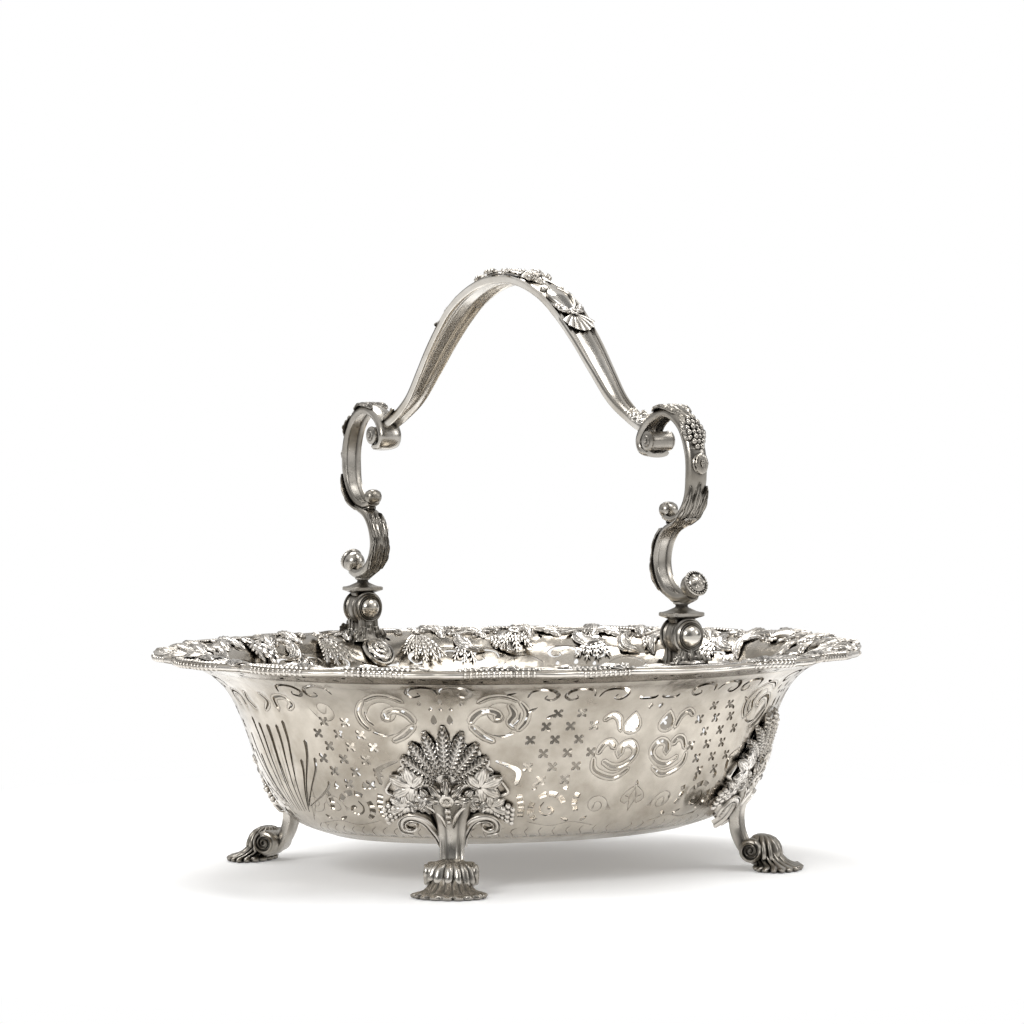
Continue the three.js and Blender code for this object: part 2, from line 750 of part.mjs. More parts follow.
// The instep fills the way from the ankle's scroll down to the pad.
function instep() {
  const rings = [
    [1.2, ANKLE_WIDTH * 0.5, PAD_LENGTH * 0.33],
    [6.6, ANKLE_WIDTH * 0.4, PAD_LENGTH * 0.2],
    [11.6, ANKLE_WIDTH * 0.28, PAD_LENGTH * 0.08],
  ].map(([z, halfWidth, reach]) =>
    Array.from({ length: 7 }, (_, k) => {
      const a = (k / 7) * 2 * Math.PI;
      const back = -ANKLE_RADIUS;
      return v3(halfWidth * Math.cos(a), mix(back, reach, 0.5) + (reach - back) * 0.5 * Math.sin(a), z);
    }),
  );
  return skin(rings, rings[0].map((p) => v2(p.x, p.y)));
}

// What the leg may not reach into: the wall and a gap before it.
function wallBlock() {
  const rings = [];
  const climbs = [2, 12, 20, 28, 36, 44, 52, 60];
  for (let i = 0; i <= 12; i++) {
    const angle = radians(mix(FOOT_ANGLE - 22, FOOT_ANGLE + 22, i / 12));
    const face = climbs.map((climb) => surface(angle, climb, SEAT_GAP));
    const back = climbs.map((climb) => surface(angle, climb, -14)).reverse();
    rings.push([...face, ...back]);
  }
  const outline = [...climbs.map((c) => v2(c, 1)), ...climbs.map((c) => v2(c, 0)).reverse()];
  return skin(rings, outline);
}

function foot() {
  const ankle = roll(ANKLE_RADIUS, ANKLE_WIDTH - 3, 1.5, ANKLE.y, ANKLE.z, 9);
  const body = unite(legBand(0), ankle, instep(), pad());
  return cut(toFoot(body), wallBlock());
}

// The plaque: a shield whose top is a fan of corn ears and whose sides are scrolls and grapes.
const SHIELD = [
  [-0.5, 0.34, 0.5],
  [-0.32, 0.1, 0.52],
  [-0.12, 0, 0.54],
  [0.12, 0, 0.54],
  [0.32, 0.1, 0.52],
  [0.5, 0.34, 0.5],
];

function shield() {
  const rings = SHIELD.map(([x, low, high]) => {
    const ys = [0, 1].map((share) => PLAQUE_HEIGHT * mix(low, high, share));
    const at = (y, z) => v3(PLAQUE_WIDTH * 0.86 * x, y, z);
    return [...ys.map((y) => at(y, 0)), ...ys.map((y) => at(y, PLAQUE_THICKNESS)).reverse()];
  });
  const outline = [0, 1, 1, 0].map((y, k) => v2(y, k < 2 ? 0 : 1));
  return skin(rings, outline);
}

function plaqueParts() {
  const parts = [shield()];
  const middle = PLAQUE_HEIGHT * 0.44;
  const reachAt = (lean) => PLAQUE_HEIGHT * mix(0.56, 0.48, Math.abs(lean) / 78);
  parts.push(fan(7, 66, reachAt, 4.2, 0.76, 1.6).translate(0, middle, 0.2));
  for (const side of [-1, 1]) {
    const drift = PLAQUE_WIDTH * 0.27;
    const scroll = ridgeScroll(8, 4.4, 3.4, side > 0 ? -60 : 240, side > 0 ? 100 : 80);
    parts.push(scroll.translate(side * drift, PLAQUE_HEIGHT * 0.37, SUNK));
    parts.push(button(4.4, 3.4, 5).translate(side * (drift - 4), PLAQUE_HEIGHT * 0.16, SUNK));
  }
  return [...parts, fan(5, 180, () => 7.4, 4.4, 0.7, 2.4).translate(0, middle, SUNK)];
}

const plaque = cut(onWall(plaqueParts(), FOOT_ANGLE, PLAQUE_CLIMB), toFoot(legRoom()));
const leg = foot();

// The hinges, built at +Y and mirrored to -Y

const HINGE_Y = RIM_WIDTH / 2 - HINGE_INSET;
const PIVOT_Z = BASE_HEIGHT + BOWL_DEPTH + PIVOT_RISE;
const EAR_INNER = KNUCKLE_WIDTH / 2 + SEAT_GAP;
const EAR_MIDDLE = EAR_INNER + EAR_THICKNESS / 2;
const SADDLE_LENGTH = KNUCKLE_WIDTH + 2 * (EAR_THICKNESS + SEAT_GAP);

// A solid turned round the pivot's line; the profile gives radius and place along Y.
function turnedOnPivot(profile, sides) {
  const lathe = new THREE.LatheGeometry(profile.map(([r, y]) => v2(r, y)), sides);
  return lathe.translate(0, HINGE_Y, 0).translate(0, 0, PIVOT_Z);
}

const bore = turnedOnPivot(
  [
    [0, -12],
    [PIN_RADIUS + SEAT_GAP, -12],
    [PIN_RADIUS + SEAT_GAP, 12],
    [0, 12],
  ],
  16,
);

// An ear: a disc on a waisted pedestal that spreads over the border it is soldered to.
function ear(side) {
  const from = side * EAR_INNER;
  const to = side * (EAR_INNER + EAR_THICKNESS);
  const rim = side * (EAR_INNER + EAR_THICKNESS * 0.7);
  const profile = [
    [0, from],
    [EAR_RADIUS, from],
    [EAR_RADIUS, rim],
    [EAR_RADIUS * 0.86, to],
    [0, to],
  ];
  const disc = turnedOnPivot(side > 0 ? profile : profile.reverse(), 16);
  const rings = [
    [-4.5, 5.4, 1.15],
    [-9, 5, 1.15],
    [-12, 6.4, 1.6],
    [-15, 9.4, 2.7],
    [-24, 10.4, 3.1],
  ].map(([z, halfX, halfY]) =>
    [
      [-1, -0.6],
      [-0.6, -1],
      [0.6, -1],
      [1, -0.6],
      [1, 0.6],
      [0.6, 1],
      [-0.6, 1],
      [-1, 0.6],
    ].map(([x, y]) => v3(x * halfX, HINGE_Y + side * EAR_MIDDLE + y * halfY, PIVOT_Z + z)),
  );
  const pedestal = skin(rings.reverse(), rings[0].map((p) => v2(p.x, p.y)));
  return cut(unite(disc, pedestal), bore, borderBand(78, 102, SEAT_GAP, 14));
}

// The pin: a shaft through both ears and the knuckle, with a ringed dome at either end.
function pin() {
  const end = SADDLE_LENGTH / 2 + SEAT_GAP;
  const head = (side) => [
    [PIN_HEAD_RADIUS, side * end],
    [PIN_HEAD_RADIUS, side * (end + 0.8)],
    [PIN_HEAD_RADIUS * 0.72, side * (end + 1.2)],
    [PIN_HEAD_RADIUS * 0.62, side * (end + 2)],
    [0, side * (end + PIN_HEAD_DOME)],
  ];
  const shaft = [
    [PIN_RADIUS, -end],
    [PIN_RADIUS, end],
  ];
  const profile = [...head(-1).reverse(), ...shaft, ...head(1)];
  return outward(mergeVertices(bare(turnedOnPivot(profile, 12)), 1e-4));
}

// The knuckle: a reeded drum between the ears, a saddle over them and the neck that it carries.
const DRUM_RADIUS = EAR_RADIUS - RUNNING_FIT;
const SADDLE_RADIUS = EAR_RADIUS + RUNNING_FIT;
const NECK_TOP = SADDLE_RADIUS + NECK_HEIGHT;

function knuckle() {
  const half = KNUCKLE_WIDTH / 2;
  const reeds = 2;
  const profile = [[0, -half], [DRUM_RADIUS - 0.8, -half]];
  for (let k = 0; k < reeds; k++) {
    const at = (share) => mix(-half, half, (k + share) / reeds);
    profile.push([DRUM_RADIUS, at(0.3)], [DRUM_RADIUS, at(0.7)], [DRUM_RADIUS - 0.8, at(1)]);
  }
  const drum = turnedOnPivot([...profile, [0, half]], 16);
  const arc = [];
  for (let k = 0; k <= 6; k++) {
    const a = radians(mix(38, 142, k / 6));
    arc.push(v2(SADDLE_RADIUS * Math.cos(a), SADDLE_RADIUS * Math.sin(a)));
  }
  for (let k = 6; k >= 0; k--) {
    const a = radians(mix(40, 140, k / 6));
    const r = SADDLE_RADIUS + SADDLE_THICKNESS;
    arc.push(v2(r * Math.cos(a), r * Math.sin(a)));
  }
  const bent = { depth: SADDLE_LENGTH, bevelEnabled: false };
  const saddle = new THREE.ExtrudeGeometry(new THREE.Shape(arc), bent);
  saddle.rotateX(Math.PI / 2).translate(0, HINGE_Y + SADDLE_LENGTH / 2, PIVOT_Z);
  const web = new THREE.BoxGeometry(7, KNUCKLE_WIDTH, 5).translate(0, HINGE_Y, PIVOT_Z + SADDLE_RADIUS - 1);
  const rings = [
    [0, 2],
    [0.31, 1.86],
    [0.49, 1.2],
    [0.72, 1],
    [1, 0.92],
  ].map(([up, out]) =>
    Array.from({ length: 8 }, (_, k) => {
      const a = (k / 8) * 2 * Math.PI;
      const r = NECK_RADIUS * out;
      return v3(r * Math.cos(a), HINGE_Y + r * Math.sin(a), PIVOT_Z + mix(SADDLE_RADIUS, NECK_TOP, up));
    }),
  );
  const roof = skin(rings, rings[0].map((p) => v2(p.x, p.y)));
  return cut(unite(drum, saddle, web, roof), bore);
}

// The handle: reaches are shares of the shoulder's inset from the hinge's middle, and rises are
// shares of the way from the lower scroll's seat on the neck up to the shoulder.
const SCROLL_SEAT = NECK_TOP + SEAT_GAP + LOWER_THICKNESS / 2;
const fromHinge = (path) =>
  path.map(([out, up]) => [HINGE_Y + SHOULDER_INSET * out, PIVOT_Z + mix(SCROLL_SEAT, SHOULDER_RISE, up)]);

// The lower C-scroll: from its knob, over the neck, round and up to a leaf that points outwards.
const LOWER_PATH = fromHinge([
  [0.32, 0.02],
  [0.14, 0.001],
  [-0.08, 0.004],
  [-0.34, 0.042],
  [-0.53, 0.116],
  [-0.6, 0.213],
  [-0.53, 0.314],
  [-0.33, 0.398],
  [-0.04, 0.437],
  [0.27, 0.466],
]);
const KNOB = [LOWER_PATH[0][0], LOWER_PATH[0][1] + KNOB_RADIUS - LOWER_THICKNESS / 2];

// The upper C-scroll: from its small volute, out and up, over the shoulder into its roll.
const UPPER_PATH = fromHinge([
  [-0.41, 0.481],
  [-0.16, 0.46],
  [0.12, 0.495],
  [0.345, 0.59],
  [0.43, 0.73],
  [0.385, 0.88],
  [0.16, 1.025],
  [-0.275, 1.101],
  [-0.77, 1.049],
  [-1.02, 0.941],
  [-0.965, 0.87],
  [-0.72, 0.851],
]);
const VOLUTE = [UPPER_PATH[0][0] + 0.4, UPPER_PATH[0][1] + VOLUTE_RADIUS - UPPER_THICKNESS * 0.2];
const ROLL = [UPPER_PATH.at(-1)[0] + 0.4, UPPER_PATH.at(-1)[1] + ROLL_RADIUS + UPPER_THICKNESS * 0.19];

function upperBand(grow) {
  const widths = [
    [0, UPPER_WIDTH * 0.7],
    [0.3, UPPER_WIDTH],
    [0.72, UPPER_WIDTH],
    [0.88, UPPER_WIDTH * 1.25],
    [1, UPPER_WIDTH * 1.2],
  ];
  const thicknesses = [
    [0, UPPER_THICKNESS * 0.6],
    [0.14, UPPER_THICKNESS * 0.68],
    [0.3, UPPER_THICKNESS],
    [0.85, UPPER_THICKNESS],
    [1, UPPER_THICKNESS * 0.6],
  ];
  return band(UPPER_PATH, HOLLOW_FRONT, widths, thicknesses, 14, grow);
}

// A relief laid on the outside of a band, bent along its path from a place in shares of it.
function onBand(parts, path, at, rise, flip = 1) {
  const curve = new THREE.SplineCurve(path.map(([y, z]) => v2(y, z)));
  const length = curve.getLength();
  return parts.map((part) => {
    const bent = bare(part);
    const p = bent.attributes.position;
    for (let i = 0; i < p.count; i++) {
      const share = THREE.MathUtils.clamp(at + (flip * p.getY(i)) / length, 0, 1);
      const spot = curve.getPointAt(share);
      const way = curve.getTangentAt(share);
      const lift = flip * (rise + p.getZ(i));
      p.setXYZ(i, p.getX(i), spot.x + way.y * lift, spot.y - way.x * lift);
    }
    return mergeVertices(bent, 1e-4);
  });
}

function upperScroll() {
  const rise = UPPER_THICKNESS * 0.12;
  const acanthus = [leaf(22, 9, 3.8, 0.5)];
  const shoulder = [leaf(16, 10, 3.4, 0.5)];
  return unite(
    upperBand(0),
    roll(VOLUTE_RADIUS, UPPER_WIDTH * 0.72, 0.8, ...VOLUTE, 8),
    roll(ROLL_RADIUS, ROLL_LENGTH - 3, 1.5, ...ROLL, 12),
    ...onBand(acanthus, UPPER_PATH, 0.2, rise),
    ...onBand(shoulder, UPPER_PATH, 0.65, rise),
  );
}

function lowerScroll() {
  const widths = [
    [0, LOWER_WIDTH * 0.8],
    [0.2, LOWER_WIDTH],
    [0.75, LOWER_WIDTH * 1.1],
    [1, LOWER_WIDTH * 0.25],
  ];
  const thicknesses = [
    [0, LOWER_THICKNESS],
    [0.6, LOWER_THICKNESS],
    [0.8, LOWER_THICKNESS * 0.7],
    [1, LOWER_THICKNESS * 0.3],
  ];
  const strip = band(LOWER_PATH, HOLLOW_BACK, widths, thicknesses, 10);
  const knob = roll(KNOB_RADIUS, LOWER_WIDTH - 1, 2, ...KNOB, 12);
  const acanthus = onBand([leaf(20, 8, 2.8, 0.4)], LOWER_PATH, 0.62, LOWER_THICKNESS * 0.1, -1);
  return cut(unite(strip, knob, ...acanthus), upperBand(SEAT_GAP));
}

// The arch over the middle, from one shoulder to the other, as shares of its half span and rise.
const ARCH_FORM = [
  [0, 1],
  [0.147, 0.975],
  [0.297, 0.89],
  [0.422, 0.764],
  [0.555, 0.572],
  [0.67, 0.374],
  [0.78, 0.19],
  [0.9, 0.07],
  [1, 0],
];
const archHalf = ARCH_FORM.map(([out, up]) => [
  (HINGE_Y - SHOULDER_INSET) * out,
  PIVOT_Z + mix(SHOULDER_RISE, ARCH_RISE, up),
]);
const ARCH_PATH = [...archHalf.slice(1).map(([y, z]) => [-y, z]).reverse(), ...archHalf];

function arch() {
  const widths = [
    [0, ARCH_WIDTH * 0.42],
    [0.05, ARCH_WIDTH * 0.46],
    [0.2, ARCH_WIDTH * 0.8],
    [0.32, ARCH_WIDTH],
    [0.68, ARCH_WIDTH],
    [0.8, ARCH_WIDTH * 0.8],
    [0.95, ARCH_WIDTH * 0.46],
    [1, ARCH_WIDTH * 0.42],
  ];
  const strip = band(ARCH_PATH, HOLLOW_BACK, widths, [[0, ARCH_THICKNESS], [1, ARCH_THICKNESS]], 20);
  const shoulder = upperBand(SEAT_GAP);
  return cut(strip, shoulder, mirrored(shoulder, 1, -1));
}

// Grapes over a leaf, on the outside of the upper scroll below its shoulder.
function grapes() {
  const parts = [leaf(15, 9, 1.6, 0.6).translate(0, -7, 0)];
  for (const [x, y] of [[-2.4, 3], [2.4, 3], [0, -0.4], [-2.5, -3.6], [2.5, -3.6]]) {
    parts.push(button(2.4, 3.4, 5).translate(x, y, SUNK));
  }
  return unite(...onBand(parts, UPPER_PATH, 0.53, UPPER_THICKNESS / 2 + SEAT_GAP + 3 * FACET_SLACK));
}

const archLift = ARCH_THICKNESS / 2 + SEAT_GAP;
const onArch = (parts, at, slack) => unite(...onBand(parts, ARCH_PATH, at, archLift + slack, -1));

// The fruit and flowers that crown the arch, and the shell that hangs on either side of them.
function crown() {
  const parts = [fan(8, 180, () => 16, 3, 0.6, 1)];
  for (const [x, y, r] of [[0, 0, 3.6], [-5, 4, 2.8], [5, 4, 2.8], [-5, -4, 2.8], [5, -4, 2.8]]) {
    parts.push(button(r, r * 1.2, 6).translate(x, y, SUNK));
  }
  const slim = parts.map((part) => part.scale(0.62, 1, 1));
  return onArch(slim, 0.5, 2 * FACET_SLACK);
}
const archShell = () => onArch(scallop(9.5, 5, 3.2), 0.7, 0);

const looks = {
  sheet: { color: 0xc9c7c2, roughness: 0.24, metalness: 1 },
  cast: { color: 0xbdbab3, roughness: 0.34, metalness: 1 },
  worn: { color: 0xd4d2cd, roughness: 0.18, metalness: 1 },
};

const group = new THREE.Group();
group.name = "silver_basket";

function add(name, geometry, look) {
  const plain = geometry.index ? geometry : mergeVertices(geometry);
  const mesh = new THREE.Mesh(plain, new THREE.MeshStandardMaterial(looks[look]));
  mesh.name = name;
  group.add(mesh);
}

const SIDES = [
  ["front", -1],
  ["back", 1],
];

add("pierced_bowl", piercedBowl(), "sheet");
for (const [name, sy] of SIDES) add(`border_${name}`, mirrored(sideBorder, 1, sy), "cast");
add("border_left", mirrored(endBorder, -1, 1), "cast");
add("border_right", endBorder, "cast");
add("end_shell_left", mirrored(endShell, -1, 1), "cast");
add("end_shell_right", endShell, "cast");
for (const [name, sx, sy] of QUARTERS) {
  add(`foot_${name}`, mirrored(leg, sx, sy), "cast");
  add(`plaque_${name}`, mirrored(plaque, sx, sy), "cast");
  add(`hinge_spray_${name}`, mirrored(hingeSpray, sx, sy), "cast");
  add(`side_spray_${name}`, mirrored(sideSpray, sx, sy), "cast");
}

const innerEar = ear(-1);
const outerEar = ear(1);
const hingePin = pin();
const hingeKnuckle = knuckle();
const handleLower = lowerScroll();
const handleUpper = upperScroll();
const handleGrapes = grapes();
const handleShell = archShell();
for (const [name, sy] of SIDES) {
  add(`hinge_roundel_${name}`, mirrored(hingeRoundel, 1, sy), "cast");
  add(`hinge_ear_inner_${name}`, mirrored(innerEar, 1, sy), "cast");
  add(`hinge_ear_outer_${name}`, mirrored(outerEar, 1, sy), "cast");
  add(`hinge_pin_${name}`, mirrored(hingePin, 1, sy), "worn");
  add(`hinge_knuckle_${name}`, mirrored(hingeKnuckle, 1, sy), "worn");
  add(`lower_scroll_${name}`, mirrored(handleLower, 1, sy), "cast");
  add(`upper_scroll_${name}`, mirrored(handleUpper, 1, sy), "cast");
  add(`grape_bunch_${name}`, mirrored(handleGrapes, 1, sy), "cast");
  add(`arch_shell_${name}`, mirrored(handleShell, 1, sy), "cast");
}
add("handle_arch", arch(), "cast");
add("arch_crown", crown(), "cast");

export default group;
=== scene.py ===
# %% [markdown]
# # A swing-handled silver bread basket
# The basket is raised from thin silver sheet, pierced with a saw and chased, and it carries a cast
# border, four cast feet and a swing handle on knuckle hinges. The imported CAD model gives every
# place and size; this file gives each piece the surface that a silversmith leaves on it.
# %% Load the frame
import math

import bpy
import numpy as np
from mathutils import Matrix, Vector
from mathutils.geometry import delaunay_2d_cdt
from mathutils.kdtree import KDTree


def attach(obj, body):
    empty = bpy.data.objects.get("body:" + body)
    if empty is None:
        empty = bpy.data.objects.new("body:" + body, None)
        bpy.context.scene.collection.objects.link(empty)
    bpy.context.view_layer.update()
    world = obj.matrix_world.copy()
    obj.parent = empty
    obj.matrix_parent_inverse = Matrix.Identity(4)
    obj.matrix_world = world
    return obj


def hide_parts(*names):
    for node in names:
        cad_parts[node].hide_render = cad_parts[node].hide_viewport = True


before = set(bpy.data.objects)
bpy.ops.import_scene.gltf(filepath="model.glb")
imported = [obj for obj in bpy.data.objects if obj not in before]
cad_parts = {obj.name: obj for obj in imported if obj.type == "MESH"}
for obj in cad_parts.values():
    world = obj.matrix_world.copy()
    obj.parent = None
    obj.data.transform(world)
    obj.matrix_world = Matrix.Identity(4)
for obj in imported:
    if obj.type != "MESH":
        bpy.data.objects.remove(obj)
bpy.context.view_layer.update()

MM = 0.001

# %% [markdown]
# ## The view, the floor and the light
# The camera stands where the photographer's stood: a long lens, almost level, a little to the left
# of one hinge. A pale floor keeps the soft shadow. The world is white to the eye, and to the metal
# it is a studio: bright above and darker low down, because silver has no look but what it reflects.
# %% Camera
CAMERA_AT = Vector((-1049.8, -1551.8, 229.7)) * MM
AZIMUTH, ELEVATION = math.radians(34.07), math.radians(1.84)
FOCAL_PIXELS, PHOTO_PIXELS, SENSOR = 3911.3, 1024, 36
LOOK_BACK = Vector((-math.sin(AZIMUTH) * math.cos(ELEVATION),
                    -math.cos(AZIMUTH) * math.cos(ELEVATION),
                    math.sin(ELEVATION)))
scene = bpy.context.scene
camera = bpy.data.objects.new("camera", bpy.data.cameras.new("camera"))
camera.data.lens = FOCAL_PIXELS / PHOTO_PIXELS * SENSOR
camera.data.sensor_width = SENSOR
camera.location = CAMERA_AT
camera.rotation_mode = "QUATERNION"
camera.rotation_quaternion = (-LOOK_BACK).to_track_quat("-Z", "Y")
camera.data.clip_start, camera.data.clip_end = 0.05, 60
scene.collection.objects.link(camera)
scene.camera = camera
scene.view_settings.view_transform = "Standard"
print("lens in mm:", round(camera.data.lens, 1))

# %% [markdown]
# Materials and generators are both node trees. One small function adds any node with its settings,
# values and links, so a tree reads as a list of what it computes. Colours are written as the eye
# knows them, in sRGB, and the second function turns them to the linear values of the nodes.
# %% Small helpers for nodes
def node(tree, kind, values=None, links=None, **settings):
    """Adds a node; values sets inputs by name or number, links joins inputs to other nodes' outputs."""
    made = tree.nodes.new(kind)
    for key, value in settings.items():
        setattr(made, key, value)
    for key, value in (values or {}).items():
        made.inputs[key].default_value = value
    for key, source in (links or {}).items():
        tree.links.new(source, made.inputs[key])
    return made


def colour(hex_text):
    """An sRGB hex colour as the linear values that the nodes take."""
    parts = [int(hex_text[i:i + 2], 16) / 255 for i in (1, 3, 5)]
    return [p / 12.92 if p <= 0.04045 else ((p + 0.055) / 1.055) ** 2.4 for p in parts] + [1]

# %% [markdown]
# The world is white to the camera. For the metal it is a studio: pale tents at the sides, brighter
# overhead, with the dark room behind the camera and dark gaps between the tents. Those dark
# patches, made from the direction alone, are what draws the forms in polished silver.
# %% World
DARK_PATCHES = [  # towards, the cosines where a patch is whole and where it ends, and its brightness
    ((-0.52, -0.84, 0.16), 0.97, 0.62, 0.20), ((0.97, -0.22, 0.05), 0.98, 0.86, 0.25),
    ((-0.93, 0.35, 0.10), 0.985, 0.90, 0.30), ((0.15, 0.98, 0.12), 0.98, 0.84, 0.35),
    ((0.50, 0.10, 0.86), 0.985, 0.93, 0.30)]
world = bpy.data.worlds.new("white_studio")
scene.world = world
world.use_nodes = True
tree = world.node_tree
tree.nodes.clear()
path = node(tree, "ShaderNodeLightPath")
place = node(tree, "ShaderNodeTexCoord")
apart = node(tree, "ShaderNodeSeparateXYZ", links={0: place.outputs["Generated"]})
light = node(tree, "ShaderNodeMapRange", {1: -0.1, 2: 0.9, 3: 0.62, 4: 1.0},
             {0: apart.outputs["Z"]}).outputs[0]
for towards, inner, outer, brightness in DARK_PATCHES:
    facing = node(tree, "ShaderNodeVectorMath", {1: towards}, {0: place.outputs["Generated"]},
                  operation="DOT_PRODUCT")
    patch = node(tree, "ShaderNodeMapRange", {1: outer, 2: inner, 3: 1.0, 4: brightness},
                 {0: facing.outputs["Value"]}, interpolation_type="SMOOTHSTEP").outputs[0]
    light = node(tree, "ShaderNodeMath", {}, {0: light, 1: patch}, operation="MULTIPLY").outputs[0]
grey = node(tree, "ShaderNodeCombineColor", {}, {0: light, 1: light, 2: light})
studio = node(tree, "ShaderNodeBackground", {"Strength": 0.80}, {"Color": grey.outputs[0]})
white = node(tree, "ShaderNodeBackground", {"Color": (1, 1, 1, 1), "Strength": 1.0})
either = node(tree, "ShaderNodeMixShader",
              links={0: path.outputs["Is Camera Ray"], 1: studio.outputs[0], 2: white.outputs[0]})
node(tree, "ShaderNodeOutputWorld", links={0: either.outputs[0]})
print("world:", world.name)

# %% [markdown]
# The floor is pale paper. It takes the basket's shadow near the feet; further out it is white to
# the camera and in reflections, as the sweep of paper behind the object is, so no horizon shows.
# %% Floor
FLOOR_HALF = 40
floor_mesh = bpy.data.meshes.new("floor")
floor_mesh.from_pydata([(x * FLOOR_HALF, y * FLOOR_HALF, 0) for x, y in ((-1, -1), (1, -1), (1, 1), (-1, 1))],
                       [], [(0, 1, 2, 3)])
floor = bpy.data.objects.new("floor", floor_mesh)
scene.collection.objects.link(floor)
paper = bpy.data.materials.new("pale_paper_floor")
paper.use_nodes = True
tree = paper.node_tree
tree.nodes.clear()
path = node(tree, "ShaderNodeLightPath")
by_eye, by_gloss = path.outputs["Is Camera Ray"], path.outputs["Is Glossy Ray"]
place = node(tree, "ShaderNodeTexCoord")
away = node(tree, "ShaderNodeVectorMath", {}, {0: place.outputs["Object"]}, operation="LENGTH")
far = node(tree, "ShaderNodeMapRange", {1: 0.24, 2: 0.46}, {0: away.outputs["Value"]},
           interpolation_type="SMOOTHSTEP").outputs[0]
either = node(tree, "ShaderNodeMath", {}, {0: by_eye, 1: by_gloss}, operation="MAXIMUM").outputs[0]
blend = node(tree, "ShaderNodeMath", {}, {0: either, 1: far}, operation="MULTIPLY").outputs[0]
eye_lift = node(tree, "ShaderNodeMath", {1: 0.20}, {0: by_eye}, operation="MULTIPLY").outputs[0]
gloss_lift = node(tree, "ShaderNodeMath", {1: 0.40}, {0: by_gloss}, operation="MULTIPLY").outputs[0]
lift = node(tree, "ShaderNodeMath", {}, {0: eye_lift, 1: gloss_lift}, operation="ADD").outputs[0]
matt = node(tree, "ShaderNodeBsdfDiffuse", {"Color": (0.86, 0.86, 0.86, 1)})
glow = node(tree, "ShaderNodeEmission", {"Color": (1, 1, 1, 1)}, {"Strength": lift})
both = node(tree, "ShaderNodeAddShader", links={0: matt.outputs[0], 1: glow.outputs[0]})
backdrop = node(tree, "ShaderNodeEmission", {"Color": (1, 1, 1, 1), "Strength": 1.0})
whole = node(tree, "ShaderNodeMixShader", links={0: blend, 1: both.outputs[0], 2: backdrop.outputs[0]})
node(tree, "ShaderNodeOutputMaterial", links={0: whole.outputs[0]})
floor_mesh.materials.append(paper)

# %% [markdown]
# Four soft lights: a key from the left, a weak fill from the right, and two broad ones from above,
# behind the basket and in front of it.
# %% Lamps
def lamp(name, place, aim, size, power):
    """A square soft light that faces a point."""
    made = bpy.data.objects.new(name, bpy.data.lights.new(name, "AREA"))
    made.data.size, made.data.energy = size, power
    made.location = place
    made.rotation_mode = "QUATERNION"
    made.rotation_quaternion = (Vector(aim) - Vector(place)).to_track_quat("-Z", "Y")
    scene.collection.objects.link(made)


lamp("key_left", (-1.7, -0.7, 1.1), (0, 0, 0.12), 0.7, 17)
lamp("fill_right", (1.6, -1.2, 0.9), (0, 0, 0.1), 0.6, 4)
lamp("top_back", (0.25, 1.0, 2.1), (0, 0, 0.1), 1.1, 30)
lamp("top_front", (0.5, -0.9, 2.0), (0, 0, 0.1), 1.1, 18)

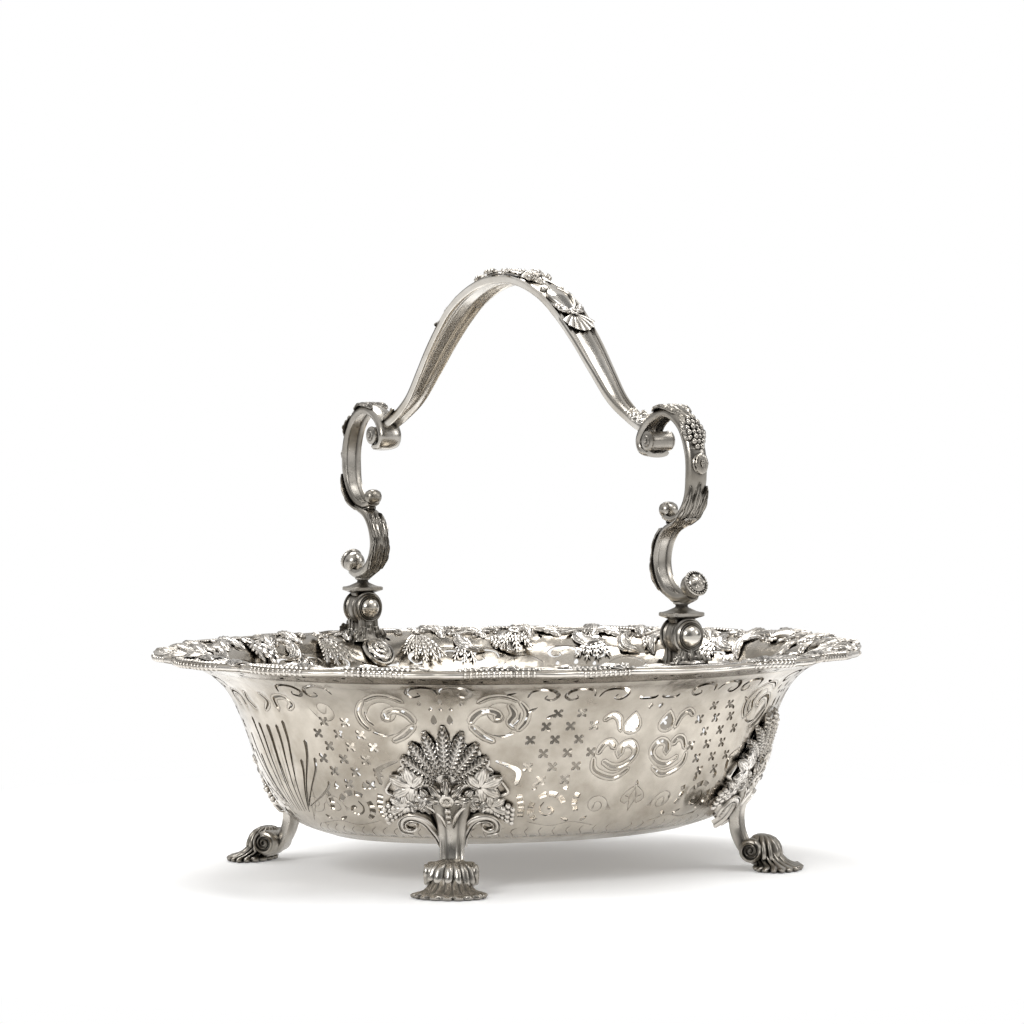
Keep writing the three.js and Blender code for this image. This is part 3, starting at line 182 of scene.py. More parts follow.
# %% [markdown]
# ## The silver
# All of it is sterling silver; what differs is how each surface was made. Rolled sheet is buffed
# and then softened by two centuries of polishing, so its gloss is even and its reflections swim a
# little. Castings keep a grain, and the polish never reaches their hollows, which stay dark with
# silver sulphide. Feet, ears and scrolls are tarnished a little more, and what turns or is gripped
# rubs bright. One function makes all four finishes, because only numbers differ.
# The dark is partly that sulphide and partly painted shade: ambient occlusion over a few millimetres,
# which also darkens the colour under leaves and between separate parts, and the "hollow" value that
# each mesh carries, so it sits in the same hollows from every side.
# %% Silver materials
def silver(name, tones, gloss, reach, grain, swim, depth_power):
    """tones: bright, dull and dark; gloss: roughness low and high; reach: mm of shelter that counts
    as a hollow; grain and swim: size and height of the fine and the slow bumps, in mm."""
    made = bpy.data.materials.new(name)
    made.use_nodes = True
    tree = made.node_tree
    tree.nodes.clear()
    bright, dull, dark = (colour(tone) for tone in tones)
    place = node(tree, "ShaderNodeTexCoord").outputs["Object"]
    noise = node(tree, "ShaderNodeTexNoise", {"Scale": 38, "Detail": 4, "Roughness": 0.6}, {0: place})
    cloud = noise.outputs["Fac"]
    patches = node(tree, "ShaderNodeMapRange", {1: 0.36, 2: 0.68}, {0: cloud}).outputs[0]
    tone = node(tree, "ShaderNodeMix", {6: bright, 7: dull}, {0: patches}, data_type="RGBA")
    # Painted shade: ambient occlusion, which also reaches other parts, darkens the base colour under leaves
    # and between parts, on top of the sulphide in the hollows.
    shelter = node(tree, "ShaderNodeAmbientOcclusion", {"Distance": reach * MM}, samples=8, only_local=False)
    carried = node(tree, "ShaderNodeAttribute", attribute_name="hollow")
    open_part = node(tree, "ShaderNodeMapRange", {3: 1.0, 4: 0.25}, {0: carried.outputs["Fac"]}).outputs[0]
    seen = node(tree, "ShaderNodeMath", {1: depth_power}, {0: shelter.outputs["AO"]},
                operation="POWER").outputs[0]
    clear = node(tree, "ShaderNodeMath", {}, {0: seen, 1: open_part}, operation="MULTIPLY").outputs[0]
    # The base colour mixed towards the dark tone where occlusion and the hollow value are high: sulphide in
    # the hollows and painted shade.
    sulphide_and_painted_shade = node(tree, "ShaderNodeMix", {6: dark}, {0: clear, 7: tone.outputs[2]}, data_type="RGBA")
    polish = node(tree, "ShaderNodeMapRange", {1: 0.3, 2: 0.7, 3: gloss[0], 4: gloss[1]},
                  {0: cloud}).outputs[0]
    rough = node(tree, "ShaderNodeMix", {2: 0.60}, {0: open_part, 3: polish})
    bump = None
    for (size, height), detail in ((grain, 3), (swim, 2)):
        waves = node(tree, "ShaderNodeTexNoise", {"Scale": 1 / (size * MM), "Detail": detail}, {0: place})
        below = {"Normal": bump} if bump else {}
        bump = node(tree, "ShaderNodeBump", {"Strength": 1.0, "Distance": height * MM},
                    {"Height": waves.outputs["Fac"], **below}).outputs[0]
    metal = node(tree, "ShaderNodeBsdfPrincipled", {"Metallic": 1.0},
                 {"Base Color": sulphide_and_painted_shade.outputs[2], "Roughness": rough.outputs[0], "Normal": bump})
    node(tree, "ShaderNodeOutputMaterial", links={0: metal.outputs[0]})
    return made


# The third tone of each finish is the colour of hollows and sheltered places: partly sulphide, partly painted
# shade.
SHEET = silver("rolled_sterling_sheet_polished", ("#BDB6AB", "#989084", "#544D45"), (0.17, 0.28), 2.0,
               (0.5, 0.006), (12, 0.75), 1.6)
CAST = silver("cast_sterling_silver_chased", ("#E2DDD6", "#C4BDB2", "#26221E"), (0.23, 0.34), 1.6,
              (0.35, 0.006), (9, 0.25), 1.2)
AGED = silver("cast_sterling_silver_tarnished", ("#BBB6AE", "#8C867C", "#1F1C19"), (0.23, 0.34), 2.2,
              (0.35, 0.006), (9, 0.3), 1.5)
WORN = silver("turned_sterling_silver_rubbed", ("#DEDAD3", "#C4BDB2", "#2A2622"), (0.16, 0.25), 2.2,
              (0.6, 0.003), (12, 0.2), 1.5)
for name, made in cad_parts.items():
    made.data.materials.clear()
    made.data.materials.append(CAST)

# %% [markdown]
# ## Helpers for meshes
# Every piece is drawn in millimetres and becomes metres in one place. A piece is a list of
# shells, each with its points and faces; joined shells stay separate closed skins in one object,
# as solder would hold them.
# %% Making a piece
def cavities(mesh):
    """How hollow each point lies, 0 to 1, from the way its neighbours stand over it."""
    count = len(mesh.vertices)
    at, normal = np.empty(count * 3, np.float32), np.empty(count * 3, np.float32)
    mesh.vertices.foreach_get("co", at)
    mesh.vertex_normals.foreach_get("vector", normal)
    at, normal = at.reshape(-1, 3), normal.reshape(-1, 3)
    ends = np.empty(len(mesh.edges) * 2, np.int32)
    mesh.edges.foreach_get("vertices", ends)
    a, b = ends.reshape(-1, 2).T
    way = at[b] - at[a]
    way /= np.maximum(np.linalg.norm(way, axis=1, keepdims=True), 1e-9)
    over, many = np.zeros(count), np.zeros(count)
    np.add.at(over, a, np.einsum("ij,ij->i", way, normal[a]))
    np.add.at(over, b, -np.einsum("ij,ij->i", way, normal[b]))
    np.add.at(many, ends, 1)
    return np.clip((over / np.maximum(many, 1) - 0.02) / 0.22, 0, 1)


def piece(name, shells, material, body, nodes, sharp=40, first=None):
    """Makes one object from shells of (points in mm, faces); first is another finish for the first shell."""
    points, faces, start = [], [], 0
    for shell_points, shell_faces in shells:
        shell_points = np.asarray(shell_points, float).reshape(-1, 3)
        points.append(shell_points)
        faces.extend([[start + i for i in face] for face in shell_faces])
        start += len(shell_points)
    mesh = bpy.data.meshes.new(name)
    mesh.from_pydata((np.concatenate(points) * MM).tolist(), [], faces)
    mesh.validate()
    mesh.shade_smooth()
    mesh.set_sharp_from_angle(angle=math.radians(sharp))
    # The hollow value darkens the base colour in the silver materials: partly sulphide in the hollows, partly
    # painted shade.
    hollow = mesh.attributes.new("hollow", "FLOAT", "POINT")
    hollow.data.foreach_set("value", cavities(mesh).astype(np.float32))
    mesh.materials.append(material)
    if first:
        mesh.materials.append(first)
        for face in mesh.polygons[:len(shells[0][1])]:
            face.material_index = 1
    made = bpy.data.objects.new(name, mesh)
    scene.collection.objects.link(made)
    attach(made, body)
    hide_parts(*nodes)
    print(f"{name}: {sum(len(p.vertices) - 2 for p in mesh.polygons)} triangles")


def casting(name, shells, node_name, material=CAST, body="basket", sharp=45):
    """A piece of cast silver that stands for one CAD node."""
    piece(name, shells, material, body, [node_name], sharp)


def catmull(points, count):
    """A smooth curve through points, uniform Catmull-Rom, as the CAD's spline is."""
    points = np.asarray(points, float)
    last = len(points) - 1
    q = np.linspace(0, 1, count) * last
    i = np.minimum(np.floor(q).astype(int), last - 1)
    w = (q - i)[:, None]
    p0, p1 = points[np.maximum(i - 1, 0)], points[i]
    p2, p3 = points[i + 1], points[np.minimum(i + 2, last)]
    v0, v1 = (p2 - p0) / 2, (p3 - p1) / 2
    return (2 * p1 - 2 * p2 + v0 + v1) * w**3 + (-3 * p1 + 3 * p2 - 2 * v0 - v1) * w**2 + v0 * w + p1


def evenly(curve, step=None, count=None):
    """The same curve with points an even step apart."""
    curve = np.asarray(curve, float)
    run = np.r_[0, np.cumsum(np.linalg.norm(np.diff(curve, axis=0), axis=1))]
    count = count or max(3, int(round(run[-1] / step)) + 1)
    at = np.linspace(0, run[-1], count)
    return np.stack([np.interp(at, run, curve[:, k]) for k in range(curve.shape[1])], 1)


def spread(values, count):
    """Values that lie evenly along a run, worked out at count places."""
    return np.interp(np.linspace(0, 1, count), np.linspace(0, 1, len(values)), values)


def spread_at(pairs, count):
    """As spread, from pairs of (share of the run, value)."""
    return np.interp(np.linspace(0, 1, count), [p[0] for p in pairs], [p[1] for p in pairs])


def unit(rows):
    """Each row of an array at length one."""
    return rows / np.linalg.norm(rows, axis=1, keepdims=True)


def turned_left(way):
    """Plane directions turned by a quarter turn to the left."""
    return np.column_stack([-way[:, 1], way[:, 0]])

# %% [markdown]
# ## The bowl's form
# The wall is the same curve all round the oval, so one profile and one rule give every point: an
# angle round the oval and a climb along the profile. The numbers are the CAD's own. With them a
# pattern can be drawn flat in millimetres and laid on the wall, as the silversmith's paper was.
# %% The form
RIM_LENGTH, RIM_WIDTH, BASE_HEIGHT, BASE_LENGTH = 356, 306, 19, 188
BOWL_DEPTH, OVERHANG, WALL = 79, 20, 1
OVAL = (RIM_LENGTH - RIM_WIDTH) / 2
LIP, FOOT_REACH = RIM_LENGTH / 2 - OVERHANG, BASE_LENGTH / 2
BOWL_FORM = [(0, 0), (.23, .066), (.36, .158), (.475, .304), (.56, .468), (.64, .652), (.745, .835),
             (.87, .944), (1, 1)]
BORDER_FORM = [(.4, .12), (.75, .17), (1, .15)]
form_points = [(FOOT_REACH + (LIP - FOOT_REACH) * a, BASE_HEIGHT + BOWL_DEPTH * b) for a, b in BOWL_FORM]
form_points += [(LIP + OVERHANG * a, BASE_HEIGHT + BOWL_DEPTH + OVERHANG * b) for a, b in BORDER_FORM]
FORM = catmull(form_points, 4001)
FORM_RUN = np.r_[0, np.cumsum(np.hypot(*np.diff(FORM, axis=0).T))]
FORM_SLOPE = np.gradient(FORM, FORM_RUN, axis=0)
EDGE_CLIMB = FORM_RUN[-1]
LIP_CLIMB = float(np.interp(LIP, FORM[:, 0], FORM_RUN))
print("form length", round(EDGE_CLIMB, 2), "lip at", round(LIP_CLIMB, 2))


def reach_at(climb):
    return np.interp(climb, FORM_RUN, FORM[:, 0])


def speed(angle, climb):
    """Millimetres round the oval for each radian, at an angle and a climb."""
    return np.hypot(reach_at(climb) * np.sin(angle), (reach_at(climb) - OVAL) * np.cos(angle))


def wall(angle, climb, out=0.0, normals=False):
    """Points of the wall's outer face, moved out along its normal."""
    angle, climb, out = np.broadcast_arrays(np.asarray(angle, float), climb, out)
    held = np.clip(climb, 0, EDGE_CLIMB)
    past = climb - held
    sx, sz = (np.interp(held, FORM_RUN, FORM_SLOPE[:, k]) for k in (0, 1))
    reach = reach_at(held) + past * sx
    c, s = np.cos(angle), np.sin(angle)
    at = np.stack([reach * c, (reach - OVAL) * s, np.interp(held, FORM_RUN, FORM[:, 1]) + past * sz], -1)
    round_way = np.stack([-reach * s, (reach - OVAL) * c, 0 * c], -1)
    up_way = np.stack([sx * c, sx * s, sz + 0 * c], -1)
    normal = np.cross(round_way, up_way)
    normal /= np.linalg.norm(normal, axis=-1, keepdims=True)
    at = at + normal * out[..., None]
    return (at, normal) if normals else at


def turned(axis_degrees, across, climb):
    """The angle of a point that lies so many millimetres round the oval from an axis."""
    angle = np.full(np.shape(across), math.radians(axis_degrees))
    for _ in range(8):
        angle = angle + np.asarray(across) / 8 / speed(angle, climb)
    return angle

# %% [markdown]
# ## Drawing the piercing
# A silversmith's saw leaves two kinds of hole: swelling strokes, which are a path with a width
# that grows and fades, and small punched shapes. The drawing is in millimetres from three upright
# axes: the end of the oval, the foot and the hinge. It is symmetrical about the axes, so a quarter
# is drawn. The small crosses repeat on a lattice; Geometry Nodes lay them out below.
# %% Strokes and shapes
def swelling(points, widths):
    """A smooth curve through points, and the width at each place on it."""
    fine = catmull(points, 24 * len(points))
    return fine, spread(widths, len(fine))


def stroke(points, widths, step=0.8):
    """A closed outline round a path, with a width at each of its points."""
    both = evenly(np.column_stack(swelling(points, widths)), step)
    middle, half = both[:, :2], np.maximum(both[:, 2], 0.16) / 2
    way = unit(np.gradient(middle, axis=0))
    side = turned_left(way) * half[:, None]
    head, tail = middle[-1] + way[-1] * half[-1], middle[0] - way[0] * half[0]
    return np.vstack([tail, middle + side, head, (middle - side)[::-1]])


def spiral(cx, cy, r0, r1, a0, a1, count=9):
    """Points of a spiral from radius r0 to r1 between two angles in degrees."""
    at = np.radians(np.linspace(a0, a1, count))
    r = np.linspace(r0, r1, count)
    return np.column_stack([cx + r * np.cos(at), cy + r * np.sin(at)])


def drop(cx, cy, length, width, lean=0.0, count=14):
    """A pear-shaped hole, its point up before it leans."""
    t = np.linspace(0, 2 * math.pi, count, endpoint=False)
    x = 0.5 * width * np.sin(t) * np.sin(t / 2) ** 0.9 * 1.15
    y = 0.5 * length * np.cos(t)
    c, s = math.cos(math.radians(lean)), math.sin(math.radians(lean))
    return np.column_stack([cx + x * c - y * s, cy + x * s + y * c])


def ladder(points, widths, rungs):
    """A swelling slot left with thin bars across it."""
    fine, wide = swelling(points, widths)
    made = []
    for k in range(rungs):
        start, end = int((k + 0.09) / rungs * len(fine)), int((k + 0.91) / rungs * len(fine))
        end = max(end, start + 3)
        part = fine[start:end]
        side = turned_left(unit(np.gradient(part, axis=0))) * wide[start:end, None] / 2
        pick = np.unique(np.linspace(0, len(part) - 1, 4).astype(int))
        made.append(np.vstack([(part + side)[pick], (part - side)[pick][::-1]]))
    return made

# %% [markdown]
# The diaper of small crosses is the pattern's regular part, so a node tree lays it: a grid of
# points, every other row pushed half a step, one four-petalled cross on each. The tree gives
# outlines as edges, which the saw below then cuts.
# %% The lattice of crosses, by Geometry Nodes
def tree_with(name, inputs):
    """An empty geometry node group with a geometry output and named number inputs."""
    made = bpy.data.node_groups.new(name, "GeometryNodeTree")
    made.interface.new_socket("Geometry", in_out="OUTPUT", socket_type="NodeSocketGeometry")
    made.interface.new_socket("Geometry", in_out="INPUT", socket_type="NodeSocketGeometry")
    for label, kind, value in inputs:
        socket = made.interface.new_socket(label, in_out="INPUT", socket_type="NodeSocket" + kind)
        socket.default_value = value
    return made, node(made, "NodeGroupInput").outputs, node(made, "NodeGroupOutput")


def grown(tree, source, values):
    """Runs a tree on a mesh and gives back the plain mesh that it makes."""
    holder = bpy.data.objects.new("grown", source)
    scene.collection.objects.link(holder)
    modifier = holder.modifiers.new("grow", "NODES")
    modifier.node_group = tree
    for socket in tree.interface.items_tree:
        if socket.in_out == "INPUT" and socket.name in values:
            modifier[socket.identifier] = values[socket.name]
    holder.update_tag()
    bpy.context.view_layer.update()
    made = bpy.data.meshes.new_from_object(holder.evaluated_get(bpy.context.evaluated_depsgraph_get()))
    holder.modifiers.clear()
    bpy.data.objects.remove(holder)
    return made


CROSS_POINTS = 16
lattice, given, out = tree_with("cross_lattice", [
    ("Columns", "Int", 5), ("Rows", "Int", 4), ("Step Across", "Float", 11.0), ("Step Up", "Float", 5.4),
    ("Cross Size", "Float", 2.3)])
wide = node(lattice, "ShaderNodeMath", {}, {0: given["Columns"], 1: given["Step Across"]},
            operation="MULTIPLY").outputs[0]
tall = node(lattice, "ShaderNodeMath", {}, {0: given["Rows"], 1: given["Step Up"]},
            operation="MULTIPLY").outputs[0]
grid = node(lattice, "GeometryNodeMeshGrid", {}, {
    "Size X": wide, "Size Y": tall, "Vertices X": given["Columns"], "Vertices Y": given["Rows"]}).outputs[0]
count = node(lattice, "GeometryNodeInputIndex").outputs[0]
row = node(lattice, "ShaderNodeMath", {}, {0: count, 1: given["Rows"]}, operation="MODULO").outputs[0]
odd = node(lattice, "ShaderNodeMath", {1: 2.0}, {0: row}, operation="MODULO").outputs[0]
half = node(lattice, "ShaderNodeMath", {1: 0.5}, {0: given["Step Across"]}, operation="MULTIPLY").outputs[0]
push = node(lattice, "ShaderNodeMath", {}, {0: odd, 1: half}, operation="MULTIPLY").outputs[0]
shift = node(lattice, "ShaderNodeCombineXYZ", {}, {0: push}).outputs[0]
dots = node(lattice, "GeometryNodeSetPosition", {}, {"Geometry": grid, "Offset": shift}).outputs[0]
ring = node(lattice, "GeometryNodeMeshCircle", {"Vertices": CROSS_POINTS, "Radius": 1.0}).outputs[0]
place = node(lattice, "GeometryNodeInputPosition").outputs[0]
spot = node(lattice, "ShaderNodeSeparateXYZ", {}, {0: place}).outputs
once = node(lattice, "ShaderNodeMath", {}, {0: spot[1], 1: spot[0]}, operation="ARCTAN2").outputs[0]
twice = node(lattice, "ShaderNodeMath", {1: 2.0}, {0: once}, operation="MULTIPLY").outputs[0]
wave = node(lattice, "ShaderNodeMath", {}, {0: twice}, operation="SINE").outputs[0]
petal = node(lattice, "ShaderNodeMath", {}, {0: wave}, operation="ABSOLUTE").outputs[0]
shape = node(lattice, "ShaderNodeMath", {1: 0.70, 2: 0.30}, {0: petal}, operation="MULTIPLY_ADD").outputs[0]
sized = node(lattice, "ShaderNodeMath", {}, {0: shape, 1: given["Cross Size"]},
             operation="MULTIPLY").outputs[0]
pulled = node(lattice, "ShaderNodeVectorMath", {}, {0: place, "Scale": sized}, operation="SCALE").outputs[0]
cross = node(lattice, "GeometryNodeSetPosition", {}, {"Geometry": ring, "Position": pulled}).outputs[0]
strew = node(lattice, "GeometryNodeInstanceOnPoints", {}, {"Points": dots, "Instance": cross}).outputs[0]
real = node(lattice, "GeometryNodeRealizeInstances", {}, {0: strew}).outputs[0]
lattice.links.new(real, out.inputs[0])


def lattice_crosses(columns, rows, across, up, size):
    """Outlines of the crosses about the middle of their field."""
    seed = bpy.data.meshes.new("lattice_seed")
    made = grown(lattice, seed, {"Columns": columns, "Rows": rows, "Step Across": across, "Step Up": up,
                                 "Cross Size": size})
    return np.array([v.co[:2] for v in made.vertices]).reshape(-1, CROSS_POINTS, 2)

# %% [markdown]
# Now the drawing itself. Round the foot's axis there is a pair of big open scrolls high up; round
# the hinge's axis stands a panel of volutes with a pear-shaped hole; the end has a palmette of
# long comma strokes. Between them lie the two fields of crosses, and low down a band of scrolls
# whose slots are left with thin bars, which keeps the sheet stiff where it bends most.
# %% The pattern of one quarter
FLAT = 135.0  # millimetres of the drawing for each radian round the oval
FOOT_AXIS, END_AXIS, HINGE_AXIS = 47.0, 0.0, 90.0
holes, chased = [], []


def on_flat(axis, outline):
    """An outline drawn about an axis, moved to its place in the quarter's drawing."""
    outline = np.asarray(outline, float)
    return np.column_stack([turned(axis, outline[:, 0], outline[:, 1]) * FLAT, outline[:, 1]])


def from_degrees(axis, points):
    """Points given by degrees round the oval and climb, as millimetres from an axis and climb."""
    points = np.asarray(points, float)
    middle = np.radians((points[:, 0] + axis) / 2)
    return np.column_stack([np.radians(points[:, 0] - axis) * speed(middle, points[:, 1]), points[:, 1]])


def looped(outline):
    """A closed outline with its first point again at the end."""
    return np.vstack([outline, outline[:1]])


def both_ways(outline, mirror):
    """An outline, and its mirror image about the axis where that is asked for."""
    return [np.asarray(outline) * [side, 1] for side in ((1, -1) if mirror else (1,))]


def cut(axis, outline, mirror=False):
    """Adds a hole to the drawing."""
    holes.extend(on_flat(axis, one) for one in both_ways(outline, mirror))


def chase(axis, line, mirror=False):
    """Adds a chased line to the drawing."""
    chased.extend(on_flat(axis, evenly(one, 1.5)) for one in both_ways(line, mirror))


def saw(axis, points, widths, mirror=False, edge=1.1):
    """Cuts a swelling stroke and chases a line round it."""
    cut(axis, stroke(points, widths), mirror)
    if edge:
        chase(axis, looped(stroke(points, np.asarray(widths) + 2 * edge, 1.6)), mirror)


# high scrolls on both sides of each foot
saw(FOOT_AXIS, [(25, 81.3), (25.8, 83.1), (22.5, 85), (18.1, 84.6), (14.5, 82), (12.8, 79.1)],
    [2.6, 1.8, 1.6, 1.9, 1.9, 1.2], True)
saw(FOOT_AXIS, [(13, 76.9), (15.2, 74.4), (18.1, 71.8), (22.5, 69.4)], [1.2, 1.6, 1.6, .8], True)
saw(FOOT_AXIS, [(17.4, 90), (22.5, 93), (29, 93.7), (34.9, 90.8)], [.5, .9, .9, .5], True)
saw(FOOT_AXIS, [(36.4, 89.7), (38.9, 83.9), (37.4, 78.8), (34.2, 75.1)], [.6, 1.2, 1.2, .6], True)
saw(FOOT_AXIS, [(32, 73.3), (26.9, 71.8), (22.8, 72.5)], [.9, 1.1, .5], True, 0)
saw(FOOT_AXIS, [(35.6, 83.9), (34.5, 79.8), (31.6, 76.9)], [.5, 1.0, .5], True, 0)
chase(FOOT_AXIS, catmull(spiral(26, 82.5, 11.5, 2.5, -150, 330, 14), 90), True)
for x, y, length, width in [(3.6, 80.5, 5.2, 3.2), (9.5, 89.5, 3.2, 2.2), (0, 90.5, 4.0, 2.6)]:
    cut(FOOT_AXIS, drop(x, y, length, width), x > 0)
for x in (-4.6, 0, 4.6):
    cut(FOOT_AXIS, drop(x, 86.2, 2.2, 2.2))

# small motifs that fill the upper field between foot and hinge
BETWEEN = 57.0
for at, length, width, lean in [((64.8, 85.3), 5.5, 1.8, -60), ((68.5, 81.7), 5.5, 1.8, -60),
                                ((60.5, 95.5), 5, 1.8, -70)]:
    cut(BETWEEN, drop(*from_degrees(BETWEEN, [at])[0], length, width, lean))
saw(BETWEEN, from_degrees(BETWEEN, [(60.2, 88), (61.2, 83), (60.3, 79), (61.4, 76)]), [.5, 2.0, 1.4, .6])

# hinge panel
saw(HINGE_AXIS, [(-13.4, 61.5), (-12.6, 65.1), (-8.5, 66.6), (-4.9, 63.3), (-5.4, 59.3), (-10.1, 55.6),
                 (-15.5, 54.9), (-20.8, 57.8)], [3, 2, 2.2, 1.8, 1.4, 1.6, 1.6, .9])
saw(HINGE_AXIS, [(-16.7, 65.1), (-18.8, 67.7), (-22.1, 66.9), (-24.1, 63.7), (-24.5, 62.2)],
    [2, 1.6, 1.6, 1.3, .6])
saw(HINGE_AXIS, [(-26.2, 59.3), (-25, 54.2), (-19.6, 50.9), (-13, 49.8), (-7.2, 53.4)],
    [.6, 1.3, 1.5, 1.5, .6])
saw(HINGE_AXIS, [(-15.5, 73.5), (-17.5, 79), (-21.5, 81.5), (-25, 79)], [.8, 1.6, 1.5, .8])
cut(HINGE_AXIS, drop(-9.7, 76.6, 9.5, 8.6))
chase(HINGE_AXIS, looped(drop(-9.7, 76.8, 12.2, 11.4)))
cut(HINGE_AXIS, drop(-2.9, 85.2, 3.4, 3.0, 180))
saw(HINGE_AXIS, [(-11, 91.6), (-9.5, 90.3), (-3, 90.3), (-1.5, 91.6)], [1.0, 1.6, 1.6, 1.0], False, 0)

# C-scrolls in the flare: bright on the far side from within, dark dashes on the near side
C_SCROLL = np.array([(-7.5, -1.5), (-6.2, 2.4), (-1.5, 4.2), (4, 3), (6.6, -.6), (4.2, -3.6), (.6, -2.6),
                     (1.4, -.6)])
for middle, across, up, way in [(HINGE_AXIS, -25, 94, 1), (73.3, 0, 94.5, -1), (66.6, 0, 94.5, 1),
                                (FOOT_AXIS, -8, 97, -1), (FOOT_AXIS, 8, 97, 1), (21.5, 0, 95.5, -1),
                                (14.5, 0, 95.5, 1)]:
    saw(middle, C_SCROLL * [way, 1] + [across, up], [.6, 1.5, 2.1, 2.2, 1.9, 1.5, 1.0, .5], False, 0)

# the foot of the hinge panel
cut(HINGE_AXIS, drop(0, 46, 3.0, 2.4))
chase(HINGE_AXIS, catmull([(-1.2, 44), (-5, 41), (-6.5, 37), (-3, 35), (-2, 38), (-4, 39)], 40))
chase(HINGE_AXIS, catmull([(0, 43), (-1.8, 38), (0, 31)], 20))

# end palmette: comma strokes that start at one root
for a, top, root, width in [(0.2, 73, 29, 3.0), (4, 73.5, 29, 3.0), (7, 76, 30, 3.0), (9.8, 57, 29, 2.6),
                            (12.8, 67, 32, 2.8), (14.6, 58.5, 33, 2.4), (17.2, 47, 33, 2.2)]:
    x = from_degrees(END_AXIS, [(a, top)])[0][0]
    saw(END_AXIS, [(x, top), (x * 0.93, top - 0.22 * (top - root)), (x * 0.7 + 0.4, (top + root) / 2 - 1),
                   (x * 0.34 + 0.9, root)], [width * 0.8, width * 0.55, 0.9, 0.35], False, 0)
for a, top in [(2.1, 62), (6.6, 60), (10.6, 44), (8.2, 42)]:
    x = from_degrees(END_AXIS, [(a, top)])[0][0]
    chase(END_AXIS, catmull([(x, top), (x * 0.85, top - 9), (x * 0.5, top - 17)], 14))
saw(END_AXIS, from_degrees(END_AXIS, [(7.2, 83.5), (7.6, 89), (10.8, 90.5), (12.6, 86.5), (11, 83.5)]),
    [1.6, 1.2, 1.4, 1.2, .7])
saw(END_AXIS, from_degrees(END_AXIS, [(2.2, 82), (4.5, 86.5), (3.2, 91)]), [.6, 1.6, .6])
chase(END_AXIS, catmull(spiral(*from_degrees(END_AXIS, [(16.5, 35)])[0], 5.5, 1.2, 0, 560, 16), 60))
chase(END_AXIS, catmull(spiral(*from_degrees(END_AXIS, [(21, 84)])[0], 6.5, 1.2, 200, 700, 16), 70))

# the two fields of crosses, each narrower towards its top and bottom
FIELD_SHIFT, CROSS_ROWS, CROSS_STEP, CROSS_SIZE = -2.6, 6, 9.6, 3.1
for middle, columns, low, high, half_width in [(71.3, 6, 49.5, 83, 18.5), (24.5, 7, 47, 78, 20.0)]:
    for outline in lattice_crosses(columns, CROSS_ROWS, CROSS_STEP, (high - low) / CROSS_ROWS, CROSS_SIZE):
        x, y = outline.mean(0) + (FIELD_SHIFT, 0)
        if abs(x) < half_width * (1 - 1.4 * (y / (high - low)) ** 2):
            cut(middle, outline + (FIELD_SHIFT, (low + high) / 2))
print("holes:", len(holes), "chased lines:", len(chased))

# %% [markdown]
# Low down, on each side of the foot, the slots keep thin bars. Chased lines close the drawing: a
# row of small strokes under the scrolls, and one line below and one above it all.
# %% The low band of barred scrolls
for side, axis in ((1, 62.0), (-1, 32.0)):
    saw(axis, [(side * x, y) for x, y in [(-9, 59.5), (1, 54.5), (0.6, 48)]], [1.2, 2.6, 2.2], False, 0)
    barred = ladder([(side * 2.0, 42.5), (side * 3.4, 36), (side * 3.2, 29.5)], [2.8, 3.2, 2.8], 5)
    centre = side * 16.0
    for low_turn, high_turn in ((232, 150), (128, 20)):
        turns = (low_turn, high_turn) if side > 0 else (180 - low_turn, 180 - high_turn)
        barred += ladder(spiral(centre, 34.2, 8.2, 8.2, *turns, 7), [2.2, 3.2, 2.6], 3)
    for rung in barred:
        cut(axis, rung)
    curl = spiral(centre + side * 0.4, 33.6, 0.9, 5.0, 90, 90 - side * 330, 9)
    saw(axis, curl, [2.2, 1.8, 1.5, 1.4, 1.3, 1.2, 1.0, .8, .5], False, 0)
    for rung in ladder([(side * 30.5, 42.5), (side * 28.8, 37.5), (side * 29.8, 32)], [2.8, 2.8, 2.2], 3):
        cut(axis, rung)
    for x, y, length, width, lean in [(24.5, 27.5, 4.6, 2.4, 60), (34, 27.5, 4.6, 2.2, -50),
                                      (24, 46, 4.0, 3.0, 0), (9, 46.5, 4.0, 3.0, 0)]:
        cut(axis, drop(side * x, y, length, width, side * lean))
    chase(axis, catmull(spiral(side * 40, 35, 6.0, 1.2, 0, side * 540, 16), 60))
    chase(axis, catmull([(side * 8, 26), (side * 18, 23.5), (side * 28, 25.5), (side * 38, 23)], 40))
for k in range(26):
    x = from_degrees(0, [(3 + k * 3.36, 21)])[0][0]
    chase(0, catmull([(x, 16.5), (x + 1.6, 19.5), (x + 4.2, 21.5)], 8))
QUARTER = math.pi / 2 * FLAT
for climb in (13.2, 104.5):
    chased.append(np.column_stack([np.linspace(-2, QUARTER + 2, 130), np.full(130, climb)]))
print("holes:", len(holes), "chased lines:", len(chased))

